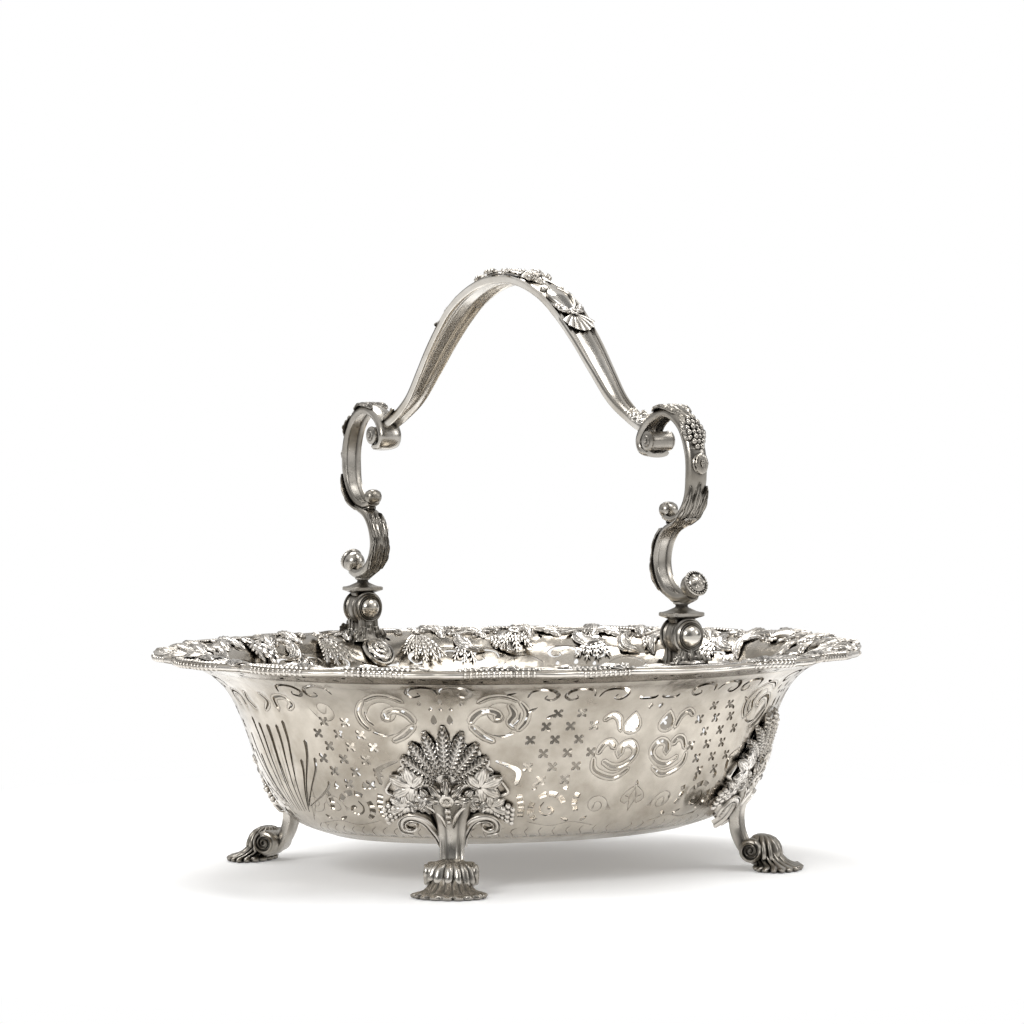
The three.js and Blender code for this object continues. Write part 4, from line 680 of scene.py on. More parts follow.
# %% [markdown]
# ## From drawing to sheet
# The flat drawing is triangulated with every outline as a fixed edge, the triangles inside holes
# are dropped, and what is left is laid on the form as an outer and an inner skin with walls
# between, one sheet thick. The points lie on the form's own curve, so the polished metal stays
# smooth between the holes; only the chased grooves dip below it.
# %% Sheet from a drawing
def inside(points, outline):
    """Which points lie inside a closed outline."""
    x, y = points[:, 0], points[:, 1]
    low, high = outline.min(0), outline.max(0)
    near = np.flatnonzero((x > low[0]) & (x < high[0]) & (y > low[1]) & (y < high[1]))
    found = np.zeros(len(points), bool)
    if len(near):
        px, py = x[near, None], y[near, None]
        a, b = outline, np.roll(outline, -1, 0)
        over = (a[:, 1] > py) != (b[:, 1] > py)
        with np.errstate(divide="ignore", invalid="ignore"):
            at = (b[:, 0] - a[:, 0]) * (py - a[:, 1]) / (b[:, 1] - a[:, 1]) + a[:, 0]
        found[near] = (np.count_nonzero(over & (px < at), axis=1) % 2) == 1
    return found


def nearest(points, targets, limit=9.0):
    """Distance from each point to the nearest of the targets, up to a limit."""
    places = KDTree(len(targets))
    for i, p in enumerate(targets):
        places.insert((p[0], p[1], 0), i)
    places.balance()
    return np.array([min(limit, places.find((p[0], p[1], 0))[2]) for p in points])


GROOVE_REACH, GROOVE_DEPTH = 0.32, 0.19


def pierced_sheet(border, holes, chased, step):
    """Triangles of a flat drawing: 2D points, triangles, and how deep each point is chased."""
    points, edges = [], []

    def add(outline, closed=True):
        start = len(points)
        points.extend(outline.tolist())
        count = len(outline)
        edges.extend([(start + i, start + (i + 1) % count) for i in range(count if closed else count - 1)])

    add(border)
    for outline in holes:
        add(outline)
    centres = []
    for line in chased:
        way = np.gradient(line, axis=0)
        way /= np.maximum(np.linalg.norm(way, axis=1, keepdims=True), 1e-9)
        side = turned_left(way) * GROOVE_REACH
        for shifted in (line, line + side, line - side):
            add(shifted, closed=False)
        centres.append(evenly(line, 0.25))
    low, high = border.min(0), border.max(0)
    gx, gy = np.meshgrid(*(np.arange(low[k] + step / 2, high[k], step) for k in range(2)))
    gx = gx + (np.arange(gx.shape[0]) % 2)[:, None] * step / 2
    filling = np.column_stack([gx.ravel(), gy.ravel()])
    far = nearest(filling, np.array(points)) > step * 0.35
    points.extend(filling[far & inside(filling, border)].tolist())
    found, _, faces, *_ = delaunay_2d_cdt([Vector(p) for p in points], edges, [], 0, 1e-4, False)
    flat = np.array([tuple(p) for p in found])
    triangles = np.array([f for f in faces if len(f) == 3])
    middles = flat[triangles].mean(1)
    keep = inside(middles, border)
    for outline in holes:
        keep &= ~inside(middles, outline)
    triangles = triangles[keep]
    a, b, c = (flat[triangles[:, k]] for k in range(3))
    area = (b[:, 0] - a[:, 0]) * (c[:, 1] - a[:, 1]) - (b[:, 1] - a[:, 1]) * (c[:, 0] - a[:, 0])
    triangles[area < 0] = triangles[area < 0][:, ::-1]
    triangles = triangles[np.abs(area) > 1e-6]
    depth = np.zeros(len(flat))
    if centres:
        away = nearest(flat, np.vstack(centres))
        depth = GROOVE_DEPTH * np.clip(1 - away / (GROOVE_REACH * 0.9), 0, 1)
    return flat, triangles, depth


def folded_round(flat, triangles, depth, copies=(0, 1, 2, 3)):
    """Copies of a quarter, mirrored about the two axes and welded where they meet."""
    first_angle = flat[:, 0] / FLAT
    angles = [first_angle, math.pi - first_angle, math.pi + first_angle, -first_angle]
    turned_over = [(triangles if k % 2 == 0 else triangles[:, ::-1]) + place * len(flat)
                   for place, k in enumerate(copies)]
    angle = np.concatenate([angles[k] for k in copies])
    climb, depth = np.tile(flat[:, 1], len(copies)), np.tile(depth, len(copies))
    key = np.round(np.column_stack([np.cos(angle), np.sin(angle), climb / 100]), 5)
    _, first, back = np.unique(key, axis=0, return_index=True, return_inverse=True)
    a, b, c = back.ravel()[np.concatenate(turned_over)].T
    distinct = (a != b) & (b != c) & (c != a)
    return angle[first], climb[first], depth[first], np.column_stack([a, b, c])[distinct]


def laid_sheet(angle, climb, depth, triangles, outer=0.0, inner=-WALL):
    """Outer and inner skins of a sheet on the form, with walls between them."""
    count = len(angle)
    points = np.vstack([wall(angle, climb, outer - depth), wall(angle, climb, inner)])
    sides = dict.fromkeys(pair for a, b, c in triangles.tolist() for pair in ((a, b), (b, c), (c, a)))
    faces = triangles.tolist() + (triangles[:, ::-1] + count).tolist()
    faces += [[b, a, a + count, b + count] for a, b in sides if (b, a) not in sides]
    return points, faces

# %% [markdown]
# The quarter's drawing is folded round the oval four times and laid on the form, and a plain
# plate closes the floor.
# %% The pierced bowl
SEAM_STEPS, HEIGHT_STEPS = 110, 40
round_way, up_way = np.linspace(0, QUARTER, SEAM_STEPS), np.linspace(0, LIP_CLIMB, HEIGHT_STEPS + 1)
edge = np.vstack([
    np.column_stack([round_way, np.zeros(SEAM_STEPS)]),
    np.column_stack([np.full(HEIGHT_STEPS, QUARTER), up_way[1:]]),
    np.column_stack([np.linspace(QUARTER, 0, SEAM_STEPS)[1:], np.full(SEAM_STEPS - 1, LIP_CLIMB)]),
    np.column_stack([np.zeros(HEIGHT_STEPS - 1), np.linspace(LIP_CLIMB, 0, HEIGHT_STEPS + 1)[1:-1]])])
bowl_skin = laid_sheet(*folded_round(*pierced_sheet(edge, holes, chased, 4.2)))

# the plate of the floor: rings from the rim to the middle on its top, then the same below
AROUND, GAP_TO_WALL = 240, 0.2
SHARES = (1.0, 0.97, 0.75, 0.5, 0.25, 0.02)
LAST_TOP, LAST_LOW = len(SHARES) - 1, 2 * len(SHARES) - 1
plate, plate_faces = [], []
for level in (BASE_HEIGHT + WALL, BASE_HEIGHT):
    for share in SHARES:
        plate += [((FOOT_REACH - GAP_TO_WALL) * share * math.cos(t),
                   (FOOT_REACH - OVAL - GAP_TO_WALL) * share * math.sin(t), level)
                  for t in (k * 2 * math.pi / AROUND for k in range(AROUND))]
for ring_number in range(LAST_LOW):
    for k in range(AROUND):
        a, b = ring_number * AROUND + k, ring_number * AROUND + (k + 1) % AROUND
        if ring_number != LAST_TOP:
            quad = [a, a + AROUND, b + AROUND, b]
            plate_faces.append(quad if ring_number < LAST_TOP else [a, b, b + AROUND, a + AROUND])
plate_faces += [[LAST_TOP * AROUND + k for k in range(AROUND)],
                [LAST_LOW * AROUND + k for k in range(AROUND)][::-1]]
low_ring = (LAST_TOP + 1) * AROUND
plate_faces += [[low_ring + k, low_ring + (k + 1) % AROUND, (k + 1) % AROUND, k] for k in range(AROUND)]
piece("bowl_sheet", [bowl_skin, (plate, plate_faces)], SHEET, "basket", ["pierced_bowl"], 30)

# %% [markdown]
# ## Cast ornament
# Ornament is modelled flat, in millimetres across, along and up, and then laid on the form by one
# mapping, the way a chaser bends a cast mount to the rim. Three makers are enough: a swept skin,
# whose section may change from station to station and so also makes leaves; a turned knob; and a
# node tree that strews grains, for wheat, beads, grapes and gadroons.
# %% Closed skins
def outward(shell):
    """Turns a closed skin so that its faces point out."""
    points, faces = np.asarray(shell[0], float), shell[1]
    total = 0.0
    for k in range(1, 3):
        pick = [f for f in faces if len(f) > k + 1]
        p, q, r = (points[[f[i] for f in pick]] for i in (0, k, k + 1))
        total += np.einsum("ij,ij->", p, np.cross(q, r))
    return (points, faces if total > 0 else [f[::-1] for f in faces])


def reshaped(shell, scale, shift=(0, 0, 0)):
    """A skin with its points scaled, mirrored or moved, its faces still out."""
    return outward((shell[0] * scale + shift, shell[1]))


def closed(rows):
    """A skin round rows of points: each row is a ring, and the two ends are capped."""
    rows = np.asarray(rows, float)
    n, k, _ = rows.shape
    points = np.vstack([rows.reshape(-1, 3), rows[0].mean(0), rows[-1].mean(0)])
    faces = [[i * k + j, i * k + (j + 1) % k, (i + 1) * k + (j + 1) % k, (i + 1) * k + j]
             for i in range(n - 1) for j in range(k)]
    faces += [[n * k, (j + 1) % k, j] for j in range(k)]
    faces += [[n * k + 1, (n - 1) * k + j, (n - 1) * k + (j + 1) % k] for j in range(k)]
    return outward((points, faces))


def sweep(path, side, section):
    """Carries a section of (across, up) points along a path; side is the across direction."""
    path = np.asarray(path, float)
    way = unit(np.gradient(path, axis=0))
    side = np.broadcast_to(np.asarray(side, float), path.shape)
    side = unit(side - way * np.einsum("ij,ij->i", side, way)[:, None])
    up = np.cross(side, way)
    section = np.broadcast_to(section, (len(path),) + np.asarray(section).shape[-2:])
    return closed(path[:, None] + section[..., :1] * side[:, None] + section[..., 1:] * up[:, None])


def rounded(count, square=1.0):
    """A ring of points at reach one, a circle or, with a low square, nearly a box."""
    t = np.linspace(0, 2 * math.pi, count, endpoint=False)
    return np.column_stack([np.sign(part) * np.abs(part) ** square for part in (np.cos(t), np.sin(t))])


def face_and_back(v, width, face, back):
    """A section from its heights across the width: along the face and home along the back."""
    x = v * width / 2
    return np.concatenate([np.column_stack([x, face]), np.column_stack([x, back])[::-1]])


def on_table(path, section):
    """Sweeps a section along a path that lies on the flat, its up direction upwards."""
    return sweep(path, np.cross(np.gradient(path, axis=0), (0, 0, 1.0)), section)


def rib(points, widths, heights, reeds=1, stations=40):
    """A moulded rib on the flat: points (across, along), half round or with reeds along it."""
    path = evenly(catmull(points, 20 * len(points)), count=stations)
    path = np.column_stack([path, np.zeros(len(path))])
    v = np.linspace(-1, 1, 4 * reeds + 3)
    top = np.sqrt(np.clip(1 - v**2, 0, 1))
    if reeds > 1:
        top = top * (0.72 + 0.28 * np.abs(np.cos(v * math.pi * reeds)))
    shape = np.vstack([np.column_stack([v, top]), [[1, -0.4], [-1, -0.4]]])
    scale = np.column_stack([spread(widths, stations) / 2, spread(heights, stations)])
    return on_table(path, shape[None] * scale[:, None])


def leaf(points, widths, lobes=5, cut=0.45, crown=1.6, vein=0.35, stations=None, across=15, lift=(0, 0),
         fold=0.5, flow=0.0):
    """A leaf on the flat: points (across, along[, up]); lobed, veined and crowned; flow draws the
    veins lengthwise."""
    stations = stations or 8 * lobes
    points = np.asarray(points, float)
    if points.shape[1] == 2:
        points = np.column_stack([points, spread(lift, len(points))])
    path = evenly(catmull(points, 20 * len(points)), count=stations)
    u, v = np.linspace(0, 1, stations)[:, None], np.linspace(-1, 1, across)[None]
    out = np.abs(v)
    lobe = 1 - cut * (1 - np.sin(math.pi * np.clip((u * lobes) % 1.0, 0, 1) ** 0.75) ** 0.55)
    lobe = np.where(u * lobes < lobes - 0.98, lobe, np.sqrt(np.clip(lobe, 0, 1)))
    wide = spread(widths, stations)[:, None] / 2 * lobe
    wave = lobes * u * (1 - 0.8 * flow) - (0.9 + 1.2 * flow) * out + 0.15
    veins = vein * np.cos(2 * math.pi * wave) * np.clip(out * 2.2, 0, 1)
    middle = 0.5 * vein * np.exp(-((v / 0.1) ** 2)) * 1.4
    top = crown * (1 - out ** 2.2) * (1 - fold * np.exp(-((v / 0.22) ** 2)) * 0.4) + veins + middle
    top = np.maximum(top, 0.12) * np.clip(np.minimum(u * 12, (1 - u) * 9) + 0.12, 0, 1)
    x = v * wide
    front, back = np.stack([x, top], -1), np.stack([x[:, ::-1], 0 * top - 0.35], -1)
    return on_table(path, np.concatenate([front, back], 1))


def turned_knob(profile, at, way, around=32):
    """A lathe form: profile of (radius, along), from a point along a direction."""
    profile = np.asarray(profile, float)
    way = np.asarray(way, float) / np.linalg.norm(way)
    first = np.cross(way, (0.3, 0.2, 0.9) if abs(way[2]) < 0.8 else (1, 0, 0))
    first /= np.linalg.norm(first)
    second = np.cross(way, first)
    t = np.linspace(0, 2 * math.pi, around, endpoint=False)
    ring = np.cos(t)[:, None] * first + np.sin(t)[:, None] * second
    radius, along = profile[:, 0, None, None], profile[:, 1, None, None]
    return closed(np.asarray(at, float) + along * way + radius * ring[None])

# %% [markdown]
# A grain is a small ball drawn in toward its tips. The tree puts one on each point and turns and
# scales it by values that the point carries.
# %% Grains by Geometry Nodes
grains, given, out = tree_with("strewn_grains", [
    ("Segments", "Int", 8), ("Rings", "Int", 6), ("Taper", "Float", 0.4), ("Finish", "Material", None)])
ball = node(grains, "GeometryNodeMeshUVSphere", {"Radius": 1.0},
            {"Segments": given["Segments"], "Rings": given["Rings"]}).outputs["Mesh"]
spot = node(grains, "GeometryNodeInputPosition").outputs[0]
height = node(grains, "ShaderNodeSeparateXYZ", {}, {0: spot}).outputs["Z"]
lost = node(grains, "ShaderNodeMath", {}, {0: height, 1: given["Taper"]}, operation="MULTIPLY").outputs[0]
keep = node(grains, "ShaderNodeMath", {0: 1.0}, {1: lost}, operation="SUBTRACT").outputs[0]
thin = node(grains, "ShaderNodeCombineXYZ", {2: 1.0}, {0: keep, 1: keep}).outputs[0]
drawn_in = node(grains, "ShaderNodeVectorMath", {}, {0: spot, 1: thin}, operation="MULTIPLY").outputs[0]
grain = node(grains, "GeometryNodeSetPosition", {}, {"Geometry": ball, "Position": drawn_in}).outputs[0]
dots = node(grains, "GeometryNodeMeshToPoints", {}, {0: given["Geometry"]}).outputs[0]
read = [node(grains, "GeometryNodeInputNamedAttribute", {"Name": name}, data_type="FLOAT_VECTOR").outputs[0]
        for name in ("way", "up", "size")]
turn = node(grains, "FunctionNodeAxesToRotation", {}, {0: read[0], 1: read[1]},
            primary_axis="Z", secondary_axis="Y").outputs[0]
strew = node(grains, "GeometryNodeInstanceOnPoints", {}, {
    "Points": dots, "Instance": grain, "Rotation": turn, "Scale": read[2]}).outputs[0]
real = node(grains, "GeometryNodeRealizeInstances", {}, {0: strew}).outputs[0]
finish = node(grains, "GeometryNodeSetMaterial", {}, {0: real, "Material": given["Finish"]}).outputs[0]
grains.links.new(finish, out.inputs[0])


def strewn(places, ways, ups, sizes, segments=8, rings=6, taper=0.4):
    """One skin of grains, one at each place, its long axis along its way; sizes are half sizes in mm."""
    places = np.asarray(places, float).reshape(-1, 3)
    seed = bpy.data.meshes.new("grain_seed")
    seed.from_pydata(places.tolist(), [], [])
    for name, given in (("way", ways), ("up", ups), ("size", sizes)):
        each = np.broadcast_to(np.asarray(given, float), places.shape).astype(np.float32)
        seed.attributes.new(name, "FLOAT_VECTOR", "POINT").data.foreach_set("vector", each.ravel())
    made = grown(grains, seed, {"Segments": segments, "Rings": rings, "Taper": taper, "Finish": CAST})
    points = np.empty(len(made.vertices) * 3, np.float32)
    made.vertices.foreach_get("co", points)
    shell = (points.reshape(-1, 3).astype(float), [list(p.vertices) for p in made.polygons])
    bpy.data.meshes.remove(made)
    return shell


def balls(places, radius, segments=10, rings=7):
    """Round grains of one radius, their poles upright."""
    return strewn(places, (0, 0, 1), (0, 1, 0), [radius] * 3, segments, rings, 0.0)


def heading(degrees):
    """The flat direction (across, along) that leans so many degrees from along."""
    return np.array([math.sin(math.radians(degrees)), math.cos(math.radians(degrees))])


def blade(at, way, steps):
    """Points that run from a place along a flat direction: steps are (distance, height) pairs."""
    return [(at[0] + way[0] * distance, at[1] + way[1] * distance, height) for distance, height in steps]


def wheat_ear(lean, length, width):
    """An ear of wheat on the flat, from the origin: a stem and three rows of grains."""
    rows = max(5, int(length / 2.3))
    way = heading(lean)
    step = way * length * 0.85 / (rows - 1)
    places, ways, sizes = [], [], []
    for k, t in enumerate(np.linspace(0.12, 0.97, rows)):
        size = width * (0.62 + 0.38 * math.sin(math.pi * min(1, t * 0.9 + 0.12)))
        for side, open_out in ((-1, 0.5), (1, 0.5), (0, 0)):
            forward, raised = (0.45, 0.45) if side == 0 else (0, 0)
            at = step * (k + 1 + forward) + np.array([way[1], -way[0]]) * side * size * 0.29
            turn_by = math.radians(lean) + side * open_out
            places.append([*at, 0.5 + raised])
            ways.append([math.sin(turn_by), math.cos(turn_by), 0.12])
            sizes.append([size * 0.2, size * 0.22, length / rows * 0.78])
    stem = rib([(0, 0), step, step * rows], [0.9, 1.0, 0.5], [0.9, 1.0, 0.5], 1, 10)
    return [strewn(places, ways, (0, 0, 1), sizes, 6, 5, 0.45), stem]


def flower(at, size, petals=6, up=0.0, turn=0.0):
    """A flower on the flat: petals that dish and a seeded middle."""
    made = []
    for k in range(petals):
        a = 2 * math.pi * k / petals + turn
        petal = blade(at, (math.cos(a), math.sin(a)), [(size * 0.1, up + 0.5), (size * 0.35, up + 0.9),
                                                       (size * 0.7, up + 1.1), (size, up + 0.3)])
        made.append(leaf(petal, [size * 0.4, size * 0.85, size * 0.95, size * 0.3], 1, 0.0, 0.45, 0.1, 9, 9))
    a = np.arange(7) * 2 * math.pi / 6
    r = np.r_[0, np.full(6, size * 0.2)]
    places = np.column_stack([at[0] + r * np.cos(a), at[1] + r * np.sin(a), np.full(7, up + 1.5)])
    made.append(balls(places, size * 0.15, 8, 5))
    return made


def cluster(at, rows=(3, 3, 2, 1), up=0.6, grape=1.3, turn=0.0):
    """A bunch of grapes on the flat, widest near its stalk."""
    places = []
    c, s = math.cos(turn), math.sin(turn)
    for row, many in enumerate(rows):
        for j in range(many):
            x, y = (j - (many - 1) / 2) * grape * 1.65, -row * grape * 1.45
            raised = grape * (0.55 + 0.35 * ((j + row) % 2))
            places.append([at[0] + x * c - y * s, at[1] + x * s + y * c, up + raised])
    return balls(places, grape)

# %% [markdown]
# A flat place becomes an angle round the oval and a climb along the wall, and its height becomes
# a distance from the surface.
# %% Laying ornament on the form
def laid(shell, axis, climb=0.0, lean=0.0, face=1, lift=0.0, sink=None):
    """Bends flat ornament onto the form: face 1 is the outside, -1 the inside and the rim's top."""
    points, faces = shell
    c, s = math.cos(math.radians(lean)), math.sin(math.radians(lean))
    x, y = points[:, 0] * c - points[:, 1] * s, points[:, 0] * s + points[:, 1] * c + climb
    angle = turned(axis, x, y)
    low = sink(angle, y) if sink else 0.0
    return outward((wall(angle, y, face * (lift - low + points[:, 2])), faces))


QUARTERS = [("back", "right", 1, 1), ("back", "left", -1, 1),  # the last two are the signs of x and y
            ("front", "left", -1, -1), ("front", "right", 1, -1)]


def in_quarters(axis):
    """The angle of a place in each of the four quarters, and 1 or -1 where the pattern is mirrored."""
    return [(axis, 1), (180 - axis, -1), (180 + axis, 1), (360 - axis, -1)]


print("makers ready")

# %% [markdown]
# ## The cast border
# Four castings meet under leaves and are soldered on the sheet's lip. Each is a flat web with a
# lobed outer edge and a wavy inner one, and a few gaps sawn through it; on the web lie scrolls,
# acanthus leaves, flowers and ears of wheat, and round the edge runs a reeded and gadrooned
# moulding. The web is a sheet as the bowl is, so the same function makes it.
# %% The border's web
LOBE_JOINTS = [-12, 12, 36, 60, 78, 102]
DIPS = [(0, 7, 11), (33, 5, 8), (60, 5, 8), (90, 12, 11)]  # degrees, depth in mm and half width in degrees
RIM_TOP = -(WALL + 2.2)


def folded(degrees):
    """Degrees from the nearer end of the oval, 0 to 90."""
    d = np.abs((np.asarray(degrees, float) + 180) % 360 - 180)
    return np.where(d > 90, 180 - d, d)


def outer_edge(degrees):
    """The climb of the lobed outer edge at folded angles in degrees."""
    share = np.interp(degrees, LOBE_JOINTS, np.arange(len(LOBE_JOINTS))) % 1.0
    lobe, ripple = np.sin(math.pi * share) ** 0.6, np.abs(np.cos(3 * math.pi * share))
    return EDGE_CLIMB - 0.4 - 4.6 * (1 - lobe) - 0.8 * (1 - ripple)


def inner_edge(degrees):
    """The climb of the wavy inner edge at folded angles in degrees."""
    deep = sum(depth * np.clip(np.cos(math.pi / 2 * np.clip((degrees - at) / reach, -1, 1)), 0, 1) ** 2
               for at, depth, reach in DIPS)
    return LIP_CLIMB - 6 - deep


def past_web(angle, climb):
    """How far ornament goes down where it passes the web's inner edge."""
    return 1.9 * np.clip((inner_edge(folded(np.degrees(angle))) + 5 - climb) / 5, 0, 1)


def web_outline(start, end):
    """The outline of half a casting, from one folded angle to another."""
    fine = np.linspace(start, end, int((end - start) * 2.2))
    flat = np.radians(fine) * FLAT
    low, high = inner_edge(fine), outer_edge(fine) - 0.6
    rise = np.linspace(0, 1, 9)[1:-1]
    return np.vstack([np.column_stack([flat, low]),
                      np.column_stack([np.full(7, flat[-1]), low[-1] + (high[-1] - low[-1]) * rise]),
                      np.column_stack([flat, high])[::-1],
                      np.column_stack([np.full(7, flat[0]), high[0] + (low[0] - high[0]) * rise])])


gaps = {"end": [], "side": []}
for part, axis, lean, size in [("end", 6, 30, 5.5), ("end", 17, -35, 6), ("end", 21, 20, 4.5),
                               ("end", 29, 40, 5), ("side", 43, -30, 5.5), ("side", 49, 25, 6),
                               ("side", 55, -20, 4.5), ("side", 66, 30, 6), ("side", 71, -35, 5),
                               ("side", 85.5, 0, 4.5)]:
    gaps[part].append(on_flat(axis, drop(0, 107.5, size, size * 0.5, lean)))
    gaps[part].append(on_flat(axis, drop(6, 113.0, size * 0.8, size * 0.4, -lean)))

border = {}
for part, start, end, copies in [("end", 0, 35.9, ((0, 3, "right"), (1, 2, "left"))),
                                 ("side", 36.1, 90, ((0, 1, "back"), (2, 3, "front")))]:
    drawn_web = pierced_sheet(web_outline(start, end), gaps[part], [], 3.6)
    for first, second, name in copies:
        laid_web = folded_round(*drawn_web, copies=(first, second))
        angle, climb = laid_web[:2]
        under = np.interp(climb, [LIP_CLIMB - 7, LIP_CLIMB - 4], [0.2 - WALL, -0.03])
        over = np.interp(climb - inner_edge(folded(np.degrees(angle))), [0, 5], [-0.05 - WALL, RIM_TOP])
        border[name] = [laid_sheet(*laid_web, outer=under, inner=over)]

# %% [markdown]
# The four castings share one moulding, divided where they meet. Three reeds run under the lobed
# edge and beads sit on it; in stretches, rows of gadroons lie inside the beads.
# %% The edge moulding, its gadroons and beads
SIDE_OF = {"right": (-36, 36), "back": (36, 144), "left": (144, 216), "front": (216, 324)}


def side_at(degrees):
    """Which of the four castings a place round the oval belongs to."""
    d = (degrees + 36) % 360 - 36
    return next(name for name, (low, high) in SIDE_OF.items() if low <= d < high)


REEDS = [(1.1, -1.5, (1.05, 1.15)), (3.6, -3.0, (0.75, 0.7)), (5.4, -3.0, (0.5, 0.5))]  # inset, out, size
for name, (low, high) in SIDE_OF.items():
    degrees = np.linspace(low + 0.08, high - 0.08, int((high - low) * 2.5))
    for inset, out, half_sizes in REEDS:
        path, normal = wall(np.radians(degrees), outer_edge(folded(degrees)) - inset, out, normals=True)
        across = np.cross(np.gradient(path, axis=0), normal)
        border[name].append(sweep(path, across, rounded(10) * half_sizes))


def gadroon_row(low, high, layer, quarter):
    """A row of gadroons between two folded angles, or of beads on the very edge where layer is -1."""
    beads = layer < 0
    inset, out = (0.9, -1.5) if beads else (2.4 + 2.5 * layer, -3.4 - 0.35 * layer)
    size, pitch = ((1.15, 1.75, 1.7), 2.6) if beads else ((1.12, 0.85, 2.1), 2.1)
    length = math.radians(high - low) * float(speed(math.radians((low + high) / 2), 120.0))
    fold = np.linspace(low + abs(layer) * 0.8, high - abs(layer) * 0.8, max(int(length / pitch), 2))
    degrees, climb = in_quarters(fold)[quarter][0], outer_edge(fold) - inset
    at, normal = wall(np.radians(degrees), climb, out, normals=True)
    way = wall(np.radians(degrees), climb + 1, -3.4) - wall(np.radians(degrees), climb, -3.4)
    for name in SIDE_OF:
        chosen = [i for i, d in enumerate(degrees) if side_at(d) == name]
        if chosen:
            border[name].append(strewn(at[chosen], way[chosen], -normal[chosen], size, 6, 5, 0.2))


for quarter in range(4):
    for low, high, layers in [(0, 8, 3), (15, 27, 2), (33, 44, 3), (52, 64, 2), (70, 79, 2)]:
        for layer in range(-1, layers):
            gadroon_row(low, high, layer, quarter)
print("edge skins:", {name: len(shells) for name, shells in border.items()})

# %% [markdown]
# The leaves and scrolls on the web come next. Each line below places one ornament by its angle
# from the end of the oval, its climb and its lean; `on_border` mirrors it into the four quarters,
# as the founder used one pattern for opposite castings.
# %% Scrolls, leaves, flowers and wheat on the border
def on_border(shells, axis, climb, lean=0.0):
    """Lays ornament on the web in all four quarters."""
    for shell in shells:
        for angle, sign in in_quarters(axis):
            skin = laid(reshaped(shell, [sign, 1, 1]), angle, climb, sign * lean, -1, 3.2, past_web)
            border[side_at(angle)].append(skin)


long_leaf = leaf([(0, 0), (1.5, 6), (5.5, 11.5), (13, 14)], [3, 7.5, 7, 1.2], 4, 0.26, 1.2, 0.32, 36, 19,
                 (0, 0.9, 1.3, 0.4), flow=1.0)
bent_leaf = leaf([(0, 0), (-2, 6.5), (1, 13), (9, 16)], [3, 6.5, 6, 1.0], 4, 0.26, 1.2, 0.32, 36, 19,
                 (0, 0.9, 1.4, 0.4), flow=1.0)
small_leaf = leaf([(0, 0), (.5, 4), (3, 8.5)], [2, 4.2, .8], 3, .24, 1.0, .25, 24, 15, (0, .6, .2), flow=1.0)
c_path = [spiral(0, 0, .8, 3.2, 400, 90, 9), [(6, 4.2), (12, 3.0)], spiral(15.5, .8, 2.4, .6, 80, -220, 7)]
s_path = [spiral(0, 0, .7, 2.8, 350, 60, 9), [(5, 1.0), (9, -2.5)], spiral(12.5, -1.6, 3.0, .7, 200, 480, 8)]
c_scroll = rib(np.vstack(c_path), [0.9, 1.4, 1.9, 2.2, 2.4, 2.2, 1.8, 1.2], [1.2, 1.5, 1.8, 1.9, 1.8, 1.4],
               2, 64)
s_scroll = rib(np.vstack(s_path), [0.9, 1.4, 1.9, 2.0, 2.2, 2.0, 1.4, 0.9], [1.2, 1.6, 1.8, 1.8, 1.6, 1.2],
               2, 64)
for place in [(4.5, 111, 0), (21, 112, 8), (40, 112, 0), (52, 112, -8), (63.5, 112, 0), (72, 111, 12),
              (82.5, 114, 0)]:
    on_border([c_scroll], *place)
for place in [(13, 113, 0), (30, 113, -10), (46.5, 110, 15), (58, 110, 0), (68, 108, 25)]:
    on_border([s_scroll], *place)
for axis, climb, lean in [(1.5, 108, -20), (10, 108, 25), (18, 107, -20), (25.5, 107, 30), (34, 106.5, 0),
                          (38.5, 107, -35), (44.5, 106, 20), (51, 107, -30), (57, 106, 10), (66, 106, -15),
                          (74.5, 107, 20), (86, 108, -15)]:
    on_border([long_leaf], axis, climb, lean)
    on_border([small_leaf], axis - 1.5, climb + 6, lean - 60)
for place in [(6, 113, -150), (15, 113, 160), (28, 113, -140), (37, 112, 180), (48, 113, 150),
              (61, 112, -160), (71, 111, 170)]:
    on_border([bent_leaf], *place)
for size, axis, climb in [(3.2, 8.5, 117), (2.8, 24, 118), (3.2, 42, 117.5), (3.0, 54.5, 118),
                          (3.0, 69.5, 117)]:
    on_border(flower((0, 0), size), axis, climb)
for axis in (32, 64):
    on_border([cluster((0, 0), up=0.5, grape=1.15)], axis, 103.5)
for axis, climb, leans in [(16, 108, (150, 170, 190)), (44, 107, (155, 175, 195, 215)),
                           (70, 106, (150, 168, 186))]:
    for lean in leans:
        on_border(wheat_ear(lean, 13.5, 4.4), axis, climb)
for name, shells in border.items():
    piece("border_casting_" + name, shells, CAST, "basket", ["border_" + name], 45, SHEET)

# %% [markdown]
# The high reliefs of the border are castings of their own, soldered on the rim's top.
# %% Sprays of wheat by the hinges and sides, and the end shells
def on_rim(shells, angle, climb, lift, sign=1):
    """Lays ornament on the rim's top at one place."""
    return [laid(reshaped(s, [sign, 1, 1]), angle, climb, 0, -1, lift) for s in shells]


